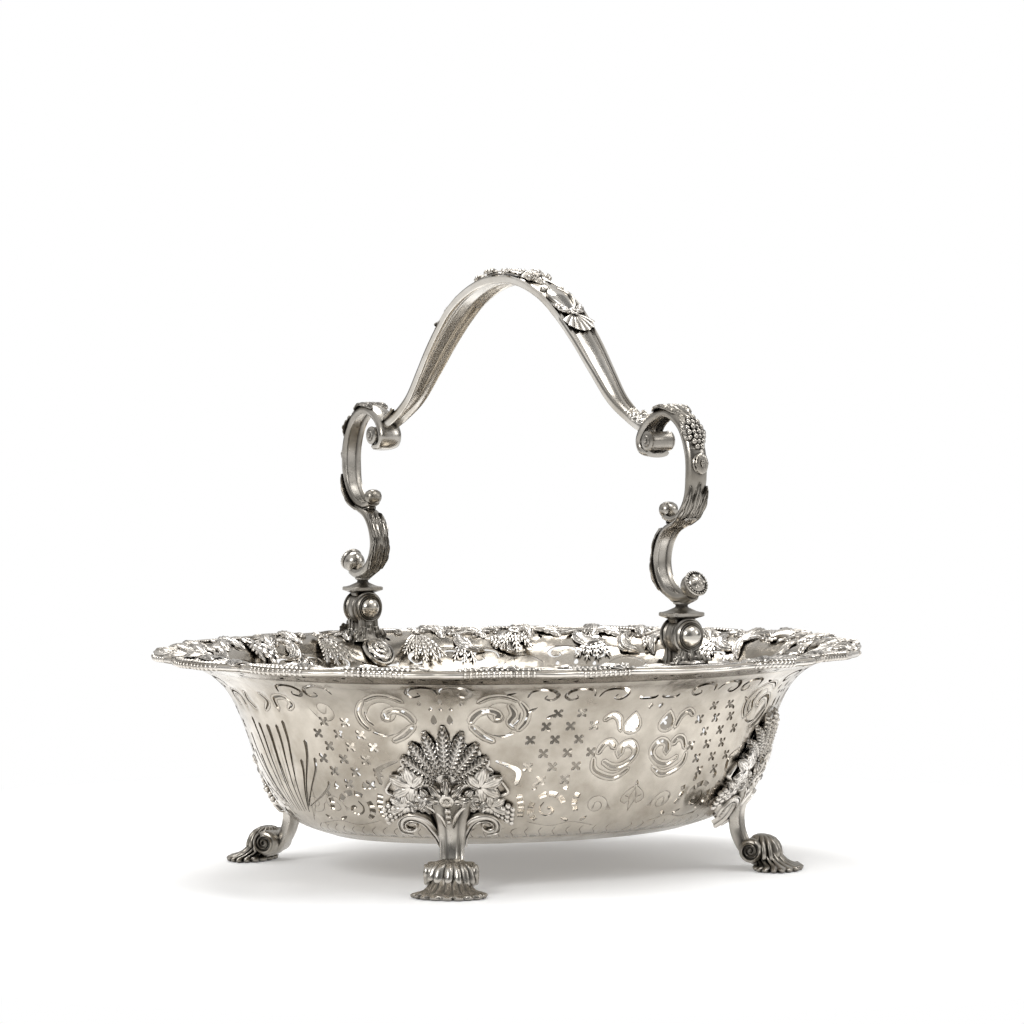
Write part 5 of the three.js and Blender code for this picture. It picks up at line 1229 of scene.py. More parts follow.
hinge_spray = [s for lean in (138, 156, 174, 192, 210) for s in wheat_ear(lean, 17.5, 4.6)]
hinge_spray.append(leaf([(0, -1), (0, 2), (0.5, 5.5)], [3, 6.5, 1], 4, 0.35, 1.6, 0.3, lift=(0.6, 1.6, 0.4)))
side_spray = [s for lean in (150, 180, 210) for s in wheat_ear(lean, 13.5, 4.6)] + flower((0, 0), 3.6, 6, 1.0)
for (fore, side, *_), (by_hinge, sign), (on_side, _) in zip(QUARTERS, in_quarters(79.5), in_quarters(60)):
    casting(f"wheat_by_hinge_{fore}_{side}", on_rim(hinge_spray, by_hinge, 108.2, 4.1, sign),
            f"hinge_spray_{fore}_{side}")
    casting(f"wheat_on_side_{fore}_{side}", on_rim(side_spray, on_side, 109.7, 4.1, sign),
            f"side_spray_{fore}_{side}")


def scallop(wide, long, flutes, up=1.6, fan=150.0):
    """A scallop shell on the flat: flutes that fan from a hinge at the origin, towards +y."""
    r = np.linspace(0.12, 1, 14)[:, None]
    a = np.linspace(-1, 1, flutes * 6 + 1)[None]
    flute = np.abs(np.sin(math.pi * flutes * (a + 1) / 2))
    reach = r * (1 - 0.09 * (1 - flute ** 0.7))
    turn_by = np.radians(fan / 2) * a
    widest = max(math.sin(math.radians(min(fan, 180) / 2)), .3)
    x, y = wide / 2 * reach * np.sin(turn_by) / widest, long * reach * np.cos(turn_by * 0.85)
    h = up * (0.35 + 0.65 * np.sin(math.pi * (0.12 + 0.8 * r))) + 0.9 * r * flute ** 0.8
    top, low = np.stack([x, y, h], -1), np.stack([x, y, 0 * h - 0.4], -1)
    return closed(np.concatenate([top, low[:, ::-1]], 1))


for name, angle in (("right", 0), ("left", 180)):
    shells = on_rim([scallop(21, 13, 9, 2.4, 170)], angle, 108.5, 4.0)
    shells += on_rim(flower((0, 0), 3.2), angle, 109.0, 4.0)
    for sign in (1, -1):
        shells += on_rim([long_leaf], angle, 109, 4.2, sign)
    casting("shell_at_end_" + name, shells, "end_shell_" + name)

# %% [markdown]
# ## Feet and plaques
# Each foot is one casting: a leg with raised edges and a hollow face, an ankle rolled in leaves, a
# volute on each side, and a scalloped pad. The plaque above it is a second casting that spreads
# the load on the thin sheet: a fan of wheat over vine leaves, grapes and scrolls.
# %% Feet
PAD_AT, FOOT_WAY = np.array([92.345, 86.572, 0]), math.radians(54.32)
FOOT_ACROSS = np.array([math.sin(FOOT_WAY), -math.cos(FOOT_WAY), 0])
FOOT_OUT = np.array([math.cos(FOOT_WAY), math.sin(FOOT_WAY), 0])


def run_of(path):
    """A smooth path as 400 points, and how far along it each one lies."""
    path = evenly(catmull(path, 400), count=400)
    return path, np.r_[0, np.cumsum(np.linalg.norm(np.diff(path, axis=0), axis=1))]


def laid_along(shell, path, start, lift, face=1, way=1):
    """Bends flat ornament along a path in an upright plane: (across, along, up) to (x, y, z)."""
    line, run = run_of(path)
    points, faces = shell
    s = start + way * points[:, 1]
    held = np.clip(s, 0, run[-1])
    tangent = np.gradient(line, run, axis=0)
    at = np.stack([np.interp(held, run, line[:, k]) for k in (0, 1)], -1)
    t = unit(np.stack([np.interp(held, run, tangent[:, k]) for k in (0, 1)], -1))
    at = at + t * (s - held)[:, None] + face * turned_left(t) * (lift + points[:, 2])[:, None]
    return outward((np.column_stack([points[:, 0], at]), faces))


def in_plane(path):
    """Points of an upright plane (y, z) as (x, y, z)."""
    return np.column_stack([np.zeros(len(path)), path])


def leg_section(width, thick):
    """Raised edges and a hollow face towards the front, a plain back."""
    v = np.linspace(-1, 1, 15)
    raised, rounding = np.clip((np.abs(v) - 0.45) / 0.3, 0, 1), np.clip((np.abs(v) - 0.88) / 0.12, 0, 1) ** 2
    front = 0.5 * thick * (0.35 + 0.65 * raised - 0.5 * rounding)
    return face_and_back(v, width, front, -0.5 * thick * np.sqrt(np.clip(1 - 0.75 * v**4, 0, 1)))


def fluted(levels, flutes, depth, around=112):
    """A cast bell of leaf ends: levels of (z, half x, half y, middle y, share of the fluting, drop of
    the tips)."""
    t = np.linspace(0, 2 * math.pi, around, endpoint=False)
    petal = np.abs(np.cos(flutes * t / 2 + 0.25 * np.sin(3 * t))) ** 0.6
    uneven = 1 + 0.35 * np.cos(2 * t + 1.1) + 0.25 * np.cos(5 * t + 0.4)
    rows = []
    for z, wide, long, middle, share, tip in levels:
        wave = 1 - depth * share * (1 - petal) + 0.02 * share * (np.cos(3 * t + 0.6) + np.cos(7 * t))
        rows.append(np.column_stack([wide * wave * np.cos(t), middle + long * wave * np.sin(t),
                                     z - tip * petal * uneven]))
    return closed(np.array(rows))


def both_sides(half):
    """A lathe profile and its mirror image, from the far end to the near one."""
    return [(r, -a) for r, a in half] + [(r, a) for r, a in reversed(half)]


LEG_STATIONS, CURL_STATIONS = 44, 56
ROLL_AT, ROLL_HALF = (-9.4, 9.6), 10.9
leg_line = evenly(catmull([(-12.4, 44), (-15.6, 38), (-18.4, 31.5), (-19.6, 24.5), (-18.6, 17), (-15.2, 10),
                           (-10, 4.8), (-4, 3.0)], 200), count=LEG_STATIONS)
leg_wide = spread([20, 16.5, 13.2, 11.2, 11.2, 12.6, 13], LEG_STATIONS)
leg_thick = spread([4.6, 5.0, 5.4, 5.6, 5.2, 4.6, 3.6], LEG_STATIONS)
leg = np.stack([leg_section(*size) for size in zip(leg_wide, leg_thick)])
foot_shells = [sweep(in_plane(leg_line), (1, 0, 0), leg)]
foot_shells.append(turned_knob(both_sides([(0.3, ROLL_HALF), (4.9, ROLL_HALF), (5.6, 10.3), (5.8, 9)]),
                               (0, *ROLL_AT), (1, 0, 0), 40))
curl_section = np.column_stack([spread(ends, CURL_STATIONS) for ends in ([1.3, 1.5, 1.9], [0.8, 0.6, 0.5])])
for side in (-1, 1):
    path = in_plane(spiral(*ROLL_AT, 5.1, 0.7, 60, 60 - 840, CURL_STATIONS)) + [side * ROLL_HALF, 0, 0]
    foot_shells.append(sweep(path, (1, 0, 0), rounded(8)[None] * curl_section[:, None]))
PAD_LEVELS = [(0.0, 15.6, 10.2, 1.4, 1, 0), (0.5, 17.0, 11.4, 1.5, 1, 0), (1.6, 17.4, 11.7, 1.5, 1, 0),
              (2.4, 16.4, 11.0, 1.4, 1, 0), (2.9, 14.0, 9.6, 0.9, 1, 0), (3.6, 11.8, 8.4, -0.2, .9, 0),
              (4.8, 10.4, 7.5, -1.6, .9, 0), (6.6, 9.4, 6.8, -3.0, .9, 0), (8.6, 8.8, 6.3, -4.2, .9, 0),
              (10.4, 8.2, 5.8, -5.0, .8, 0), (11.4, 6.4, 4.4, -5.4, .6, 0)]
CUFF_LEVELS = [(9.8, 7.6, 5.0, -5.2, .5, 0.4), (9.2, 9.8, 6.8, -5.0, .8, 1.8), (8.7, 11.2, 8.0, -4.8, 1, 2.6),
               (9.4, 11.7, 8.3, -4.8, 1, 2.3), (11.0, 11.2, 7.9, -5.0, 1, 1.2),
               (13.0, 10.2, 7.2, -5.4, .9, .4), (14.9, 8.4, 6.0, -6.0, .7, 0),
               (16.3, 5.4, 4.0, -6.6, .4, 0), (16.9, 2.6, 2.0, -7.0, .2, 0)]
foot_shells += [fluted(PAD_LEVELS, 17, 0.21), fluted(CUFF_LEVELS, 13, 0.30)]
for lean, wide in ((0, 5.6), (-42, 5.0), (42, 5.0)):
    points, faces = leaf([(0, 0), (0, 3.5), (0, 7.5)], [wide * 0.7, wide, 1.4], 3, 0.28, 0.9, 0.3, 18, 11,
                         (2.4, 0.6, 0.6), flow=1.0)
    sine, cosine = heading(lean)
    way = np.array([sine * 1.35, cosine])
    across = np.array([way[1], -way[0]])
    flat = points[:, :1] * across + points[:, 1:2] * way + (12.0 * sine, -3.6 + 8.0 * cosine)
    foot_shells.append(outward((np.column_stack([flat * [1, 0.94], points[:, 2] + 1.3]), faces)))

# %% [markdown]
# A plaque is drawn flat about the leg's top, mirrored where the pattern is, and laid on the
# outside of the wall.
# %% Plaques
FAN_ROOT = 18.0
plaque = []
for lean in (0, -19, 19, -38, 38, -57, 57, -76, 76):
    long = 23.5 - abs(lean) * 0.085
    lift = 1.4 - abs(lean) / 70
    ear = blade((0, FAN_ROOT), heading(lean), [(5.0, lift + 0.2), (5.0 + long * 0.4, lift + 0.9),
                                               (5.0 + long * 0.8, lift + 0.7), (5.0 + long, lift - 1.2)])
    plaque.append(leaf(ear, [2.8, 5.2, 6.0, 5.8, 2.0], 10, 0.05, 1.5, 0.7, 70, 13, fold=1.6))


def palmate(at, size, turn, up):
    """A vine leaf: five lobed blades from one stalk."""
    made = []
    for bend, share in [(0, 1), (52, .88), (-52, .88), (105, .66), (-105, .66)]:
        reach = size * share
        lobe = blade(at, heading(turn + bend), [(0, up + 1.0), (reach * .35, up + 1.3),
                                                (reach * .7, up + 1.2), (reach, up + 0.3)])
        widths = [size * .3, size * .62, size * .55, size * .12]
        made.append(leaf(lobe, widths, 3, 0.26, 1.3, 0.26, 26, 13, flow=0.8))
    return made


def raised(shell, height):
    """The same skin lifted off the flat."""
    return shell[0] + [0, 0, height], shell[1]


for side in (-1, 1):
    plaque += palmate((side * 15.0, 17.0), 11.5, side * 66, 1.2)
    plaque += palmate((side * 18.5, 7.0), 9.5, side * 112, 0.9)
    plaque += palmate((side * 8.5, 11.5), 7.5, side * 140, 1.5)
    plaque.append(cluster((side * 24.5, 6.0), (3, 4, 3, 2, 1), 0.9, 1.5, side * 0.35))
    volute = np.vstack([[(side * 4.4, -15), (side * 4.9, -10.5), (side * 6.4, -6.0), (side * 9.4, -0.6),
                         (side * 13.2, 1.9)], spiral(side * 17.0, -2.6, 4.9, 1.0, 90, 90 - side * 430, 12)])
    widths, heights = [3.0, 3.8, 4.6, 4.6, 3.8, 3.0, 2.2, 1.4, 0.8], [3.0, 3.0, 2.8, 2.4, 2.0, 1.6]
    plaque.append(raised(rib(volute, widths, heights, 1, 96), 2.4))
    curve = catmull(volute, 60)
    beside = turned_left(unit(np.gradient(curve, axis=0)))
    for inset in (-1.7, 1.7):
        edge_line = (curve + beside * inset)[:40:6]
        plaque.append(raised(rib(edge_line, [0.7, 0.8, 0.6], [1.0, 1.0, 0.6], 1, 44), 4.2))
    inner = [(side * 1.4, -8), (side * 2.2, -1), (side * 5.0, 5.0), (side * 9.5, 8.0), (side * 12.8, 6.6)]
    plaque.append(raised(rib(inner, [2.2, 2.8, 2.8, 2.4, 1.0], [2.6, 2.8, 2.8, 2.2, 1.0], 1, 40), 2.0))
    outer = np.vstack([spiral(side * 25.0, 9.0, 0.8, 2.8, 90 + side * 200, 90 + side * 20, 8),
                       [(side * 27.5, 14), (side * 24, 20)]])
    plaque.append(rib(outer, [1.0, 1.6, 2.0, 2.0, 1.2], [1.4, 1.8, 1.6, 1.2], 1, 40))
    for k in range(3):
        curl = [(side * (7 + 3 * k), 3 + k), (side * (10 + 3.5 * k), 7 + k),
                (side * (14 + 3.8 * k), 8.5 - 1.5 * k)]
        plaque.append(leaf(curl, [2.6, 5.2, 1.0], 3, 0.3, 1.3, 0.35, lift=(1.2, 2.2, 1.2), flow=0.8))
for x, y, lean, long in [(0, 12.5, 0, 9), (-2, 12, -38, 8.5), (2, 12, 38, 8.5), (-3, 10.5, -76, 7.5),
                         (3, 10.5, 76, 7.5)]:
    tongue = blade((x, y), heading(lean), [(0, 2.8), (long * .4, 3.6), (long * .75, 3.8), (long, 3.0)])
    plaque.append(leaf(tongue, [2.4, 5.0, 4.6, 1.4], 3, 0.3, 1.4, 0.4, 26, 13, flow=0.9))
plaque += flower((0, 11.0), 3.4, 6, 3.4)
plaque.append(rib([(0, -14), (0, -4), (0, 4), (0, 9)], [6.5, 5.4, 4.6, 3.0], [2.6, 3.2, 3.4, 2.4], 1, 40))
for k in range(5):
    y = -3 * k
    plaque.append(leaf([(0, y + 6.5, 3.0), (0, y + 4.8, 3.6), (0, y + 2.9, 3.0)], [2.0, 2.6 - 0.2 * k, 1.0],
                       1, 0, 0.5, 0.1, 8, 9))
plaque.append(reshaped(scallop(52, 24, 9, 0.2, 200), [0.84, 0.9, 0.25], (0, FAN_ROOT, 0.1)))
plaque.append(reshaped(scallop(50, 26, 5, 0.2, 190), [0.84, -0.9, 0.25], (0, FAN_ROOT + 1.5, 0.1)))
TOP_OF_LEG = 31.0
for (fore, side, x_sign, y_sign), (angle, sign) in zip(QUARTERS, in_quarters(FOOT_AXIS)):
    made = []
    for points, faces in foot_shells:
        placed = points[:, :1] * FOOT_ACROSS + points[:, 1:2] * FOOT_OUT + points[:, 2:] * (0, 0, 1) + PAD_AT
        made.append(outward((placed * [x_sign, y_sign, 1], faces)))
    casting(f"foot_casting_{fore}_{side}", made, f"foot_{fore}_{side}", AGED)
    made = [laid(reshaped(s, [sign, 1, 1]), angle, TOP_OF_LEG, 0, 1, 0.5) for s in plaque]
    casting(f"plaque_casting_{fore}_{side}", made, f"plaque_{fore}_{side}")

# %% [markdown]
# ## Hinges
# A reeded drum on the handle turns between two ears that stand on the border, on a pin with
# domed, ringed heads. Lathe work makes the round parts, as it did for the silversmith; the ears
# flare into fluted feet. A rosette covers the inner fixing.
# %% Hinges, for the back side first and mirrored to the front
PIVOT = np.array([0, 136.0, 117.4])
EAR_OUT, EAR_THICK, PEDESTAL_TOP = 5.2, 2.3, 113.5
ALONG_PIN = (0, 1, 0)


def mirrored(shells, front):
    """The back side's skins as they are, or mirrored to the front."""
    return [reshaped(s, [1, -1 if front else 1, 1]) for s in shells]


def ear(at):
    """A thick disc round the pin, with a step and a groove on both faces."""
    half = EAR_THICK / 2
    rings = both_sides([(0.4, half), (6.9, half), (7.2, half * 0.6), (7.7, half * 0.6), (8.3, half * 0.2)])
    return turned_knob(rings, at, ALONG_PIN, 56)


def pedestal(y, base_z, lean, wide_base):
    """A fluted block that flares into a foot on the border."""
    z = np.linspace(base_z, PEDESTAL_TOP, 30)
    u = (z - base_z) / (PEDESTAL_TOP - base_z)
    half = np.interp(u, [0, 0.07, 0.13, 0.3, 0.6, 1],
                     [wide_base + 1.2, wide_base + 1.0, wide_base, wide_base * 0.8, 5.4, 5.2])
    deep = np.interp(u, [0, 0.07, 0.13, 0.3, 1], [3.2, 3.0, 2.5, 1.9, 1.25])
    ring = rounded(96, 0.5)
    flute = 1 + np.where(u < 0.1, 0.02, 0.16)[:, None] * np.cos(ring[None, :, 0] * 6 * math.pi)
    section = np.stack([ring[None, :, 0] * half[:, None], ring[None, :, 1] * deep[:, None] * flute], -1)
    return sweep(in_plane(np.column_stack([y + lean * (1 - u) ** 1.6, z])), (1, 0, 0), section)


def hinge_ear(side, base_z, lean, wide_base, leaves_z):
    """One ear with its pedestal, a ring on its face and leaves up its foot; side 1 is the outer one."""
    centre = PIVOT + (0, side * EAR_OUT, 0)
    face_y = centre[1] + side * 1.2
    ring = [(5.2, 0), (6.7, 0), (7.1, 0.5), (6.7, 1.1), (6.1, 0.8), (5.8, 1.4), (5.2, 0.9)]
    shells = [ear(centre), pedestal(centre[1], base_z, lean, wide_base),
              turned_knob(ring, (0, face_y - side * 0.15, PIVOT[2]), (0, side, 0), 56)]
    for x, bend, long in ((0, 0, 8.5), (-3.6, -.4, 7.0), (3.6, .4, 7.0), (-6.4, -.9, 5.0), (6.4, .9, 5.0)):
        points, faces = leaf([(x, 0), (x * 1.03 + bend, long * .45), (x * 1.12 + bend * 2, long)],
                             [3.0, 4.6, 1.0], 3, 0.3, 1.1, 0.35, 20, 13, (0.6, 1.0, 1.6), flow=0.9)
        across, along, up = points.T
        placed = np.column_stack([across, face_y + side * (up * 0.8 - 0.3), leaves_z + long - 0.2 - along])
        shells.append(outward((placed, faces)))
    return shells


inner_ear, outer_ear = hinge_ear(-1, 100.5, -0.6, 7.8, 101.5), hinge_ear(1, 103.4, 0.2, 7.4, 104.2)
DOME = [(0.05, 4.0), (1.1, 3.95), (2.3, 3.65), (3.4, 3.1), (4.3, 2.3), (4.9, 1.4), (5.1, 0.8), (5.4, 0.4),
        (5.4, 0.0), (2.2, 0.0)]
PIN_HALF = 6.6
pin = [(r, PIN_HALF + a) for r, a in DOME] + [(r, -PIN_HALF - a) for r, a in reversed(DOME)]
drum = both_sides([(2.4, 3.7), (7.4, 3.7), (7.9, 3.3), (7.5, 2.8), (7.9, 2.4), (7.6, 2.0)])
drum.insert(len(drum) // 2, (7.7, 0))
ROOF = [(123.4, 5.2, 3.2), (124.9, 5.8, 3.4), (126.1, 8.5, 6.9), (126.4, 9.0, 7.3), (127.7, 9.0, 7.3),
        (128.0, 8.5, 6.9), (128.1, 7.4, 6.1), (128.6, 5.6, 4.9), (129.3, 4.2, 3.9), (130.1, 3.2, 3.1),
        (130.8, 2.7, 2.7), (131.4, 3.0, 3.0), (131.8, 3.9, 3.9), (132.6, 3.9, 3.9), (133.0, 3.0, 3.0)]
BOXY_LEVELS = 9  # of the roof's levels of (z, half x, half y), the others are round
roof = np.stack([rounded(48, 0.35 if k < BOXY_LEVELS else 1.0) * [a, b] for k, (_, a, b) in enumerate(ROOF)])
knuckle = [turned_knob(drum + [drum[0]], PIVOT, ALONG_PIN, 64),
           sweep([(0, PIVOT[1], z) for z, _, _ in ROOF], (1, 0, 0), roof)]
rosette = [turned_knob([(0.2, 0.0), (7.2, 0.0), (7.7, 0.9), (7.2, 1.9), (6.5, 1.9), (6.1, 1.3), (0.2, 1.5)],
                       (0, 0, 0), (0, 0, 1), 56)]
rosette += flower((0, 0), 5.9, 8, 1.3) + flower((0, 0), 3.5, 6, 2.3, 0.3)
for front, word, angle in ((False, "back", 90), (True, "front", 270)):
    casting("ear_inner_" + word, mirrored(inner_ear, front), "hinge_ear_inner_" + word, AGED, sharp=40)
    casting("ear_outer_" + word, mirrored(outer_ear, front), "hinge_ear_outer_" + word, AGED, sharp=40)
    piece("hinge_pin_" + word, mirrored([turned_knob(pin, PIVOT, ALONG_PIN, 40)], front), WORN,
          "basket", ["hinge_pin_" + word], 50)
    piece("hinge_knuckle_" + word, mirrored(knuckle, front), AGED, "handle",
          ["hinge_knuckle_" + word], 35)
    made = [laid((s[0] * 1.12, s[1]), angle, LIP_CLIMB - 11.0, 0, -1, 3.4) for s in rosette]
    piece("rosette_by_hinge_" + word, made, WORN, "basket", ["hinge_roundel_" + word], 40)

# %% [markdown]
# ## The handle
# Two scrolls, one on the other, rise from each knuckle and carry a broad arch. The arch was cast
# with double ribs along its edges and a hollow underside, which keeps it light; shells, flowers and
# leaves were chased on top. Scrolls and arch are sections swept along the CAD's own paths, and the
# ornament is bent along the same paths.
# %% Scrolls
LOWER_PATH = [(144.16, 136.12), (139.57, 134.68), (133.96, 134.9), (127.33, 137.79), (122.49, 143.4),
              (120.7, 150.77), (122.49, 158.43), (127.59, 164.81), (134.98, 167.77), (142.89, 169.97)]
UPPER_PATH = [(125.55, 171.11), (131.92, 169.51), (139.06, 172.17), (144.8, 179.38), (146.97, 190.01),
              (145.82, 201.39), (140.08, 212.4), (128.99, 218.17), (116.37, 214.22), (109.99, 206.02),
              (111.39, 200.63), (117.64, 199.19)]


def eased(share):
    """A step from 0 to 1 that starts and ends gently."""
    share = np.clip(share, 0, 1)
    return share * share * (3 - 2 * share)


def moulded(width, thick):
    """A scroll's section: a full round back, and a smooth channel between raised edges on its face."""
    v = np.linspace(-1, 1, 17)
    rounding = np.clip((np.abs(v) - 0.86) / 0.14, 0, 1) ** 2
    face = 0.5 * thick * (0.12 + 0.75 * eased((np.abs(v) - 0.5) / 0.3) - 0.55 * rounding)
    return face_and_back(v, width, face, -0.62 * thick * np.sqrt(np.clip(1 - v**2, 0, 1)) ** 0.9)


def scroll(path, widths, thicks, hollow_side, stations=110):
    """A scroll's bar along its path, its hollow face to one side."""
    line = evenly(catmull(path, 500), count=stations)
    sizes = zip(spread_at(widths, stations), spread_at(thicks, stations))
    return sweep(in_plane(line), (hollow_side, 0, 0), np.stack([moulded(*size) for size in sizes]))


def scroll_leaves(path, leaves, growth, last_lift, lift, face):
    """Leaves along a scroll: each with its start, length, width, lobes and place across."""
    made = []
    for start, long, wide, lobes, x in leaves:
        points = [(x * g, long * share) for g, share in zip((1, *growth), (0, .4, .75, 1))]
        shape = leaf(points, [wide * .5, wide, wide * .85, 1.0], lobes, 0.2, 1.3, 0.4, 44, 19,
                     (0, 0.2, 0.3, last_lift), flow=1.0)
        made.append(laid_along(shape, path, start, lift, face))
    return made


# the lower scroll, whose end is a ball with a collar, beads and a small flower
BALL_AT = np.array([0, 144.16, 140.12])
BALL_WAY, BALL_UP = np.array([0, 0.9, 0.43]), np.array([0, -0.43, 0.9])
BALL = [(0.1, -5.4), (1.6, -5.2), (3.4, -4.3), (4.7, -2.8), (5.4, -1.0), (5.5, 0.8), (5.2, 1.8), (5.8, 2.3),
        (6.0, 3.0), (5.7, 3.6), (5.0, 3.8), (4.6, 3.5), (4.2, 4.0), (3.4, 4.9), (2.0, 5.6), (0.8, 5.9),
        (0.1, 5.95)]
a = np.linspace(0, 2 * math.pi, 24, endpoint=False)
ring = np.cos(a)[:, None] * [1.0, 0, 0] + np.sin(a)[:, None] * BALL_UP
lower_scroll = [
    scroll(LOWER_PATH, [(0, 6.8), (.2, 8.6), (.75, 9.6), (.93, 9.0), (1, 7.0)],
           [(0, 4.6), (.6, 4.8), (.8, 3.4), (1, 1.4)], -1),
    turned_knob(BALL, BALL_AT, BALL_WAY, 44),
    strewn(BALL_AT + BALL_WAY * 3.75 + ring * 5.25, BALL_WAY, (1, 0, 0), [0.6] * 3, 6, 4, 0.0),
    strewn(BALL_AT + BALL_WAY * 5.0 + ring[::4] * 2.6, ring[::4], BALL_WAY, (0.9, 0.6, 1.7), 8, 5, 0.3),
    strewn([BALL_AT + BALL_WAY * 5.9], BALL_WAY, (1, 0, 0), [1.1, 1.1, 0.8], 10, 7, 0.0)]
lower_scroll += scroll_leaves(LOWER_PATH, [
    (12, 22, 8.6, 4, 0), (26, 22, 8.4, 4, 0), (19, 18, 5.6, 4, -2.9), (19, 18, 5.6, 4, 2.9),
    (33, 15, 5.0, 3, -2.7), (33, 15, 5.0, 3, 2.7), (7, 12, 6.5, 3, 0)], (1.1, 1.15, 1.2), 0.5, 1.6, 1)

# the upper scroll, with a bud at its foot, a roll at its top and a small rosette on its shoulder
upper_scroll = [scroll(UPPER_PATH, [(0, 7.35), (.3, 10.5), (.72, 10.5), (.88, 13.1), (1, 12.6)],
                       [(0, 3.0), (.14, 3.8), (.3, 5.0), (.85, 4.8), (1, 3.0)], 1, 150)]
bud = both_sides([(0.1, 4.4), (1.6, 4.2), (2.9, 3.3), (3.6, 1.8)])
bud.insert(len(bud) // 2, (3.8, 0))
upper_scroll.append(turned_knob(bud, (0, 125.95, 173.87), (1, 0, 0), 32))
roll = both_sides([(0.2, 7.8), (0.9, 7.7), (1.1, 7.3), (2.2, 7.2), (2.5, 6.8), (3.4, 6.7), (4.4, 6.3),
                   (4.6, 5.6), (4.3, 5.0)])
upper_scroll.append(turned_knob(roll, (0, 118.04, 204.99), (1, 0, 0), 40))
upper_scroll += scroll_leaves(UPPER_PATH, [
    (2, 18, 9.6, 4, 0), (10, 23, 7.2, 4, 0), (8, 22, 6.0, 4, -3.6), (8, 22, 6.0, 4, 3.6), (60, 17, 12, 4, 0),
    (65, 15, 7.5, 4, -3.8), (65, 15, 7.5, 4, 3.8)], (1.08, 1.15, 1.25), 0.4, 2.0, -1)
SHOULDER = 39.5
for s in flower((0, 0), 3.6, 8, 0.6):
    upper_scroll.append(laid_along((s[0] * [1, 1.25, 1], s[1]), UPPER_PATH, SHOULDER, 2.9, -1))
disc = turned_knob([(.2, 0), (3.9, 0), (4.3, .6), (3.9, 1.2), (3.3, 1.0), (.2, 1.0)], (0, 0, 0), (0, 0, 1))
upper_scroll.append(laid_along(disc, UPPER_PATH, SHOULDER, 2.4, -1))

# the bunch of grapes between its leaves
places = []
for row, many in enumerate((2, 3, 4, 4, 4, 3, 2)):
    for j in range(many):
        x = (j - (many - 1) / 2) * 2.35
        places.append([x, row * 2.1, 2.4 + 0.5 * ((j + row) % 2) - 0.07 * x * x])
bunch = [laid_along(balls(places, 1.32), UPPER_PATH, 46.5, 1.3, -1)]
for x in (-1, 1):
    shape = leaf([(x * 2, 0), (x * 4.4, 5), (x * 4.2, 12)], [3, 5, 1], 5, 0.35, 1.1, 0.35, lift=(0, .2, .2))
    bunch.append(laid_along(shape, UPPER_PATH, 48, 1.6, -1))
shape = leaf([(0, 0), (0, 4), (0, 8)], [8, 8, 2], 3, 0.35, 1.2, 0.35, lift=(0, .4, .3))
bunch.append(laid_along(shape, UPPER_PATH, 45, 1.9, -1))
for front, word in ((False, "back"), (True, "front")):
    for name, shells, node_name in (("lower_scroll_", lower_scroll, "lower_scroll_"),
                                    ("upper_scroll_", upper_scroll, "upper_scroll_"),
                                    ("grapes_on_shoulder_", bunch, "grape_bunch_")):
        casting(name + word, mirrored(shells, front), node_name + word, AGED, "handle", 40)

# %% [markdown]
# The arch is one casting in a ribbed section. Its ornament is drawn flat and bent along it, by the
# distance from the crown.
# %% The arch
ARCH_HALF = [(0, 281.3), (16.2, 279.5), (32.8, 273.5), (46.6, 264.6), (61.3, 251), (74, 237), (86.2, 224),
             (99.5, 215.5), (110.5, 210.5)]
ARCH_PATH = [(-y, z) for y, z in ARCH_HALF[:0:-1]] + ARCH_HALF
ARCH_WIDTHS = [(0, 7.56), (.05, 8.28), (.2, 14.4), (.32, 18), (.68, 18), (.8, 14.4), (.95, 8.28), (1, 7.56)]
ARCH_THICK, ARCH_STATIONS = 4.6, 180
SHIELD_FROM_CROWN, SHELL_FROM_CROWN = 31, 54
ARCH_RUN = float(run_of(ARCH_PATH)[1][-1])


def ribbed(width):
    """The arch's section: double ribs along the edges, a soft panel between, hollow below."""
    a = np.linspace(-1, 1, 33)
    out = np.abs(a)
    ribs = 0.85 * np.exp(-(((out - 0.92) / 0.075) ** 2)) + 0.55 * np.exp(-(((out - 0.70) / 0.055) ** 2))
    face = 0.5 * ARCH_THICK * (0.25 + 0.28 * np.clip(1 - (a / 0.62) ** 2, 0, 1)) + ribs * 1.2
    depth = 0.02 + 1.1 * eased((out - 0.30) / 0.52)
    back = -0.5 * ARCH_THICK * depth * np.sqrt(np.clip((1.01 - out) / 0.16, 0, 1))
    return face_and_back(a, width, face, back)


def on_arch(shells, from_crown, lift, way=1):
    """Lays ornament on the arch, so many millimetres from its crown."""
    return [laid_along(s, ARCH_PATH, ARCH_RUN / 2 + way * from_crown, lift, 1, way) for s in shells]


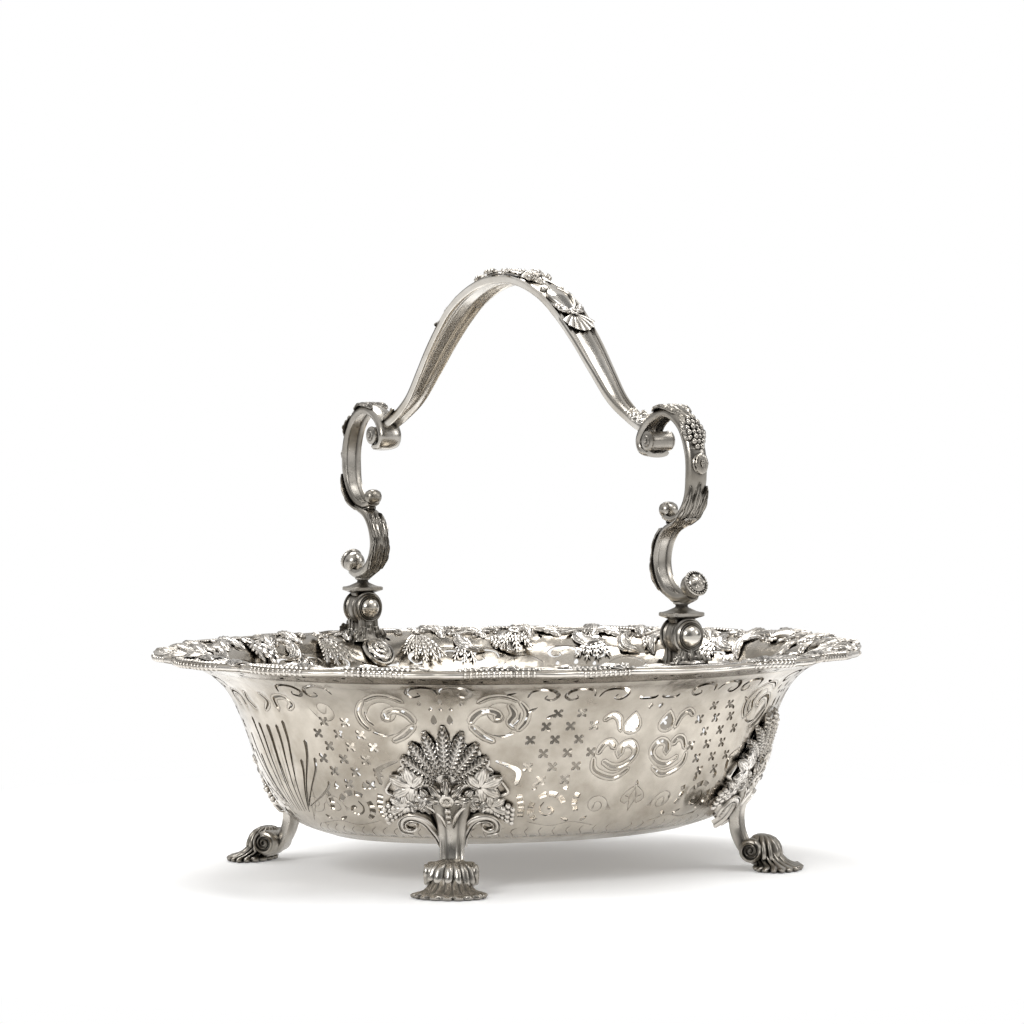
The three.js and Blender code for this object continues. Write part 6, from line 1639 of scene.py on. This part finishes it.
line = evenly(catmull(ARCH_PATH, 900), count=ARCH_STATIONS)
section = np.stack([ribbed(width) for width in spread_at(ARCH_WIDTHS, ARCH_STATIONS)])
arch = [sweep(in_plane(line), (1, 0, 0), section)]
for way in (1, -1):
    for x, wide, long in ((0, 9, 17), (-3.4, 6, 15), (3.4, 6, 15)):
        shape = leaf([(x * .7, 0), (x, long * .5), (x * 1.5, long)], [wide * .6, wide, 1.2], 5, 0.3, 1.3, 0.4,
                     lift=(0.4, 0.4, 1.2))
        arch.append(laid_along(shape, ARCH_PATH, -1.0 if way > 0 else ARCH_RUN + 1.0, 1.5, 1, way))
    for side in (-1, 1):
        eye = np.vstack([spiral(side * 4.6, 2.0, 0.5, 2.3, 90 - side * 260, 90 + side * 60, 8),
                         [(side * 6.2, 9), (side * 4.6, 16), (side * 2.0, 20)]])
        curl = rib(eye, [.8, 1.2, 1.5, 1.6, 1.4, 1.0], [1.0, 1.6, 1.6, 1.4, 0.8], 1, 44)
        arch += on_arch([curl], SHIELD_FROM_CROWN, 1.8, way)
    shield = rib([(0, -1), (0, 8), (0, 21)], [11.5, 12.5, 8.0], [1.8, 2.2, 1.2], 1, 40)
    arch += on_arch([shield], SHIELD_FROM_CROWN, 1.0, way)
piece("arch_casting", arch, WORN, "handle", ["handle_arch"], 40)

for word, way in (("front", -1), ("back", 1)):
    shells = on_arch([scallop(18, 12.5, 7, 1.6, 160)], SHELL_FROM_CROWN, 1.1, way)
    shells += on_arch(flower((0, 0), 2.4, 5, 1.2), SHELL_FROM_CROWN, 1.3, way)
    for side in (-1, 1):
        shape = leaf([(side, 0), (side * 5, -2.5), (side * 7.5, -7)], [2, 4.6, 1], 4, .35, 1.1, .35,
                     lift=(1, 1.4, .4))
        shells += on_arch([shape], SHELL_FROM_CROWN, 1.2, way)
    casting("shell_on_arch_" + word, shells, "arch_shell_" + word, CAST, "handle", 40)

crown = []
for at, size, petals in [((0, 0), 5.6, 8), ((-4.2, 9.5), 3.6, 6), ((4.4, 10.5), 3.4, 6),
                         ((4.2, -9.5), 3.6, 6), ((-4.4, -10.5), 3.4, 6)]:
    crown += flower(at, size, petals, 1.2)
for x, y, lean in [(-6, 4, -60), (6, 4, 60), (-6, -5, -120), (6, -5, 120), (0, 15, 0), (0, -15, 180),
                   (-4, 17, -20), (4, -17, 160), (4, 17, 20), (-4, -17, -160)]:
    tongue = blade((x, y), heading(lean), [(0, 1.4), (3, 2.6), (6.5, 1.0)])
    crown.append(leaf(tongue, [3, 5.2, 1.0], 4, 0.35, 1.1, 0.35, 28, 11))
for y in (-5.5, 5.5, -15.5, 15.5):
    crown.append(cluster((0, y + 1.5), up=1.4, grape=1.15))
crown.append(leaf([(0, -26, 0.3), (0, -12, 1.0), (0, 12, 1.0), (0, 26, 0.3)], [3, 12, 15, 15, 12, 3],
                  8, 0.2, 1.2, 0.4, 90, 17, flow=0.6))
casting("flowers_on_crown", on_arch(crown, 0, 1.3), "arch_crown", CAST, "handle", 40)
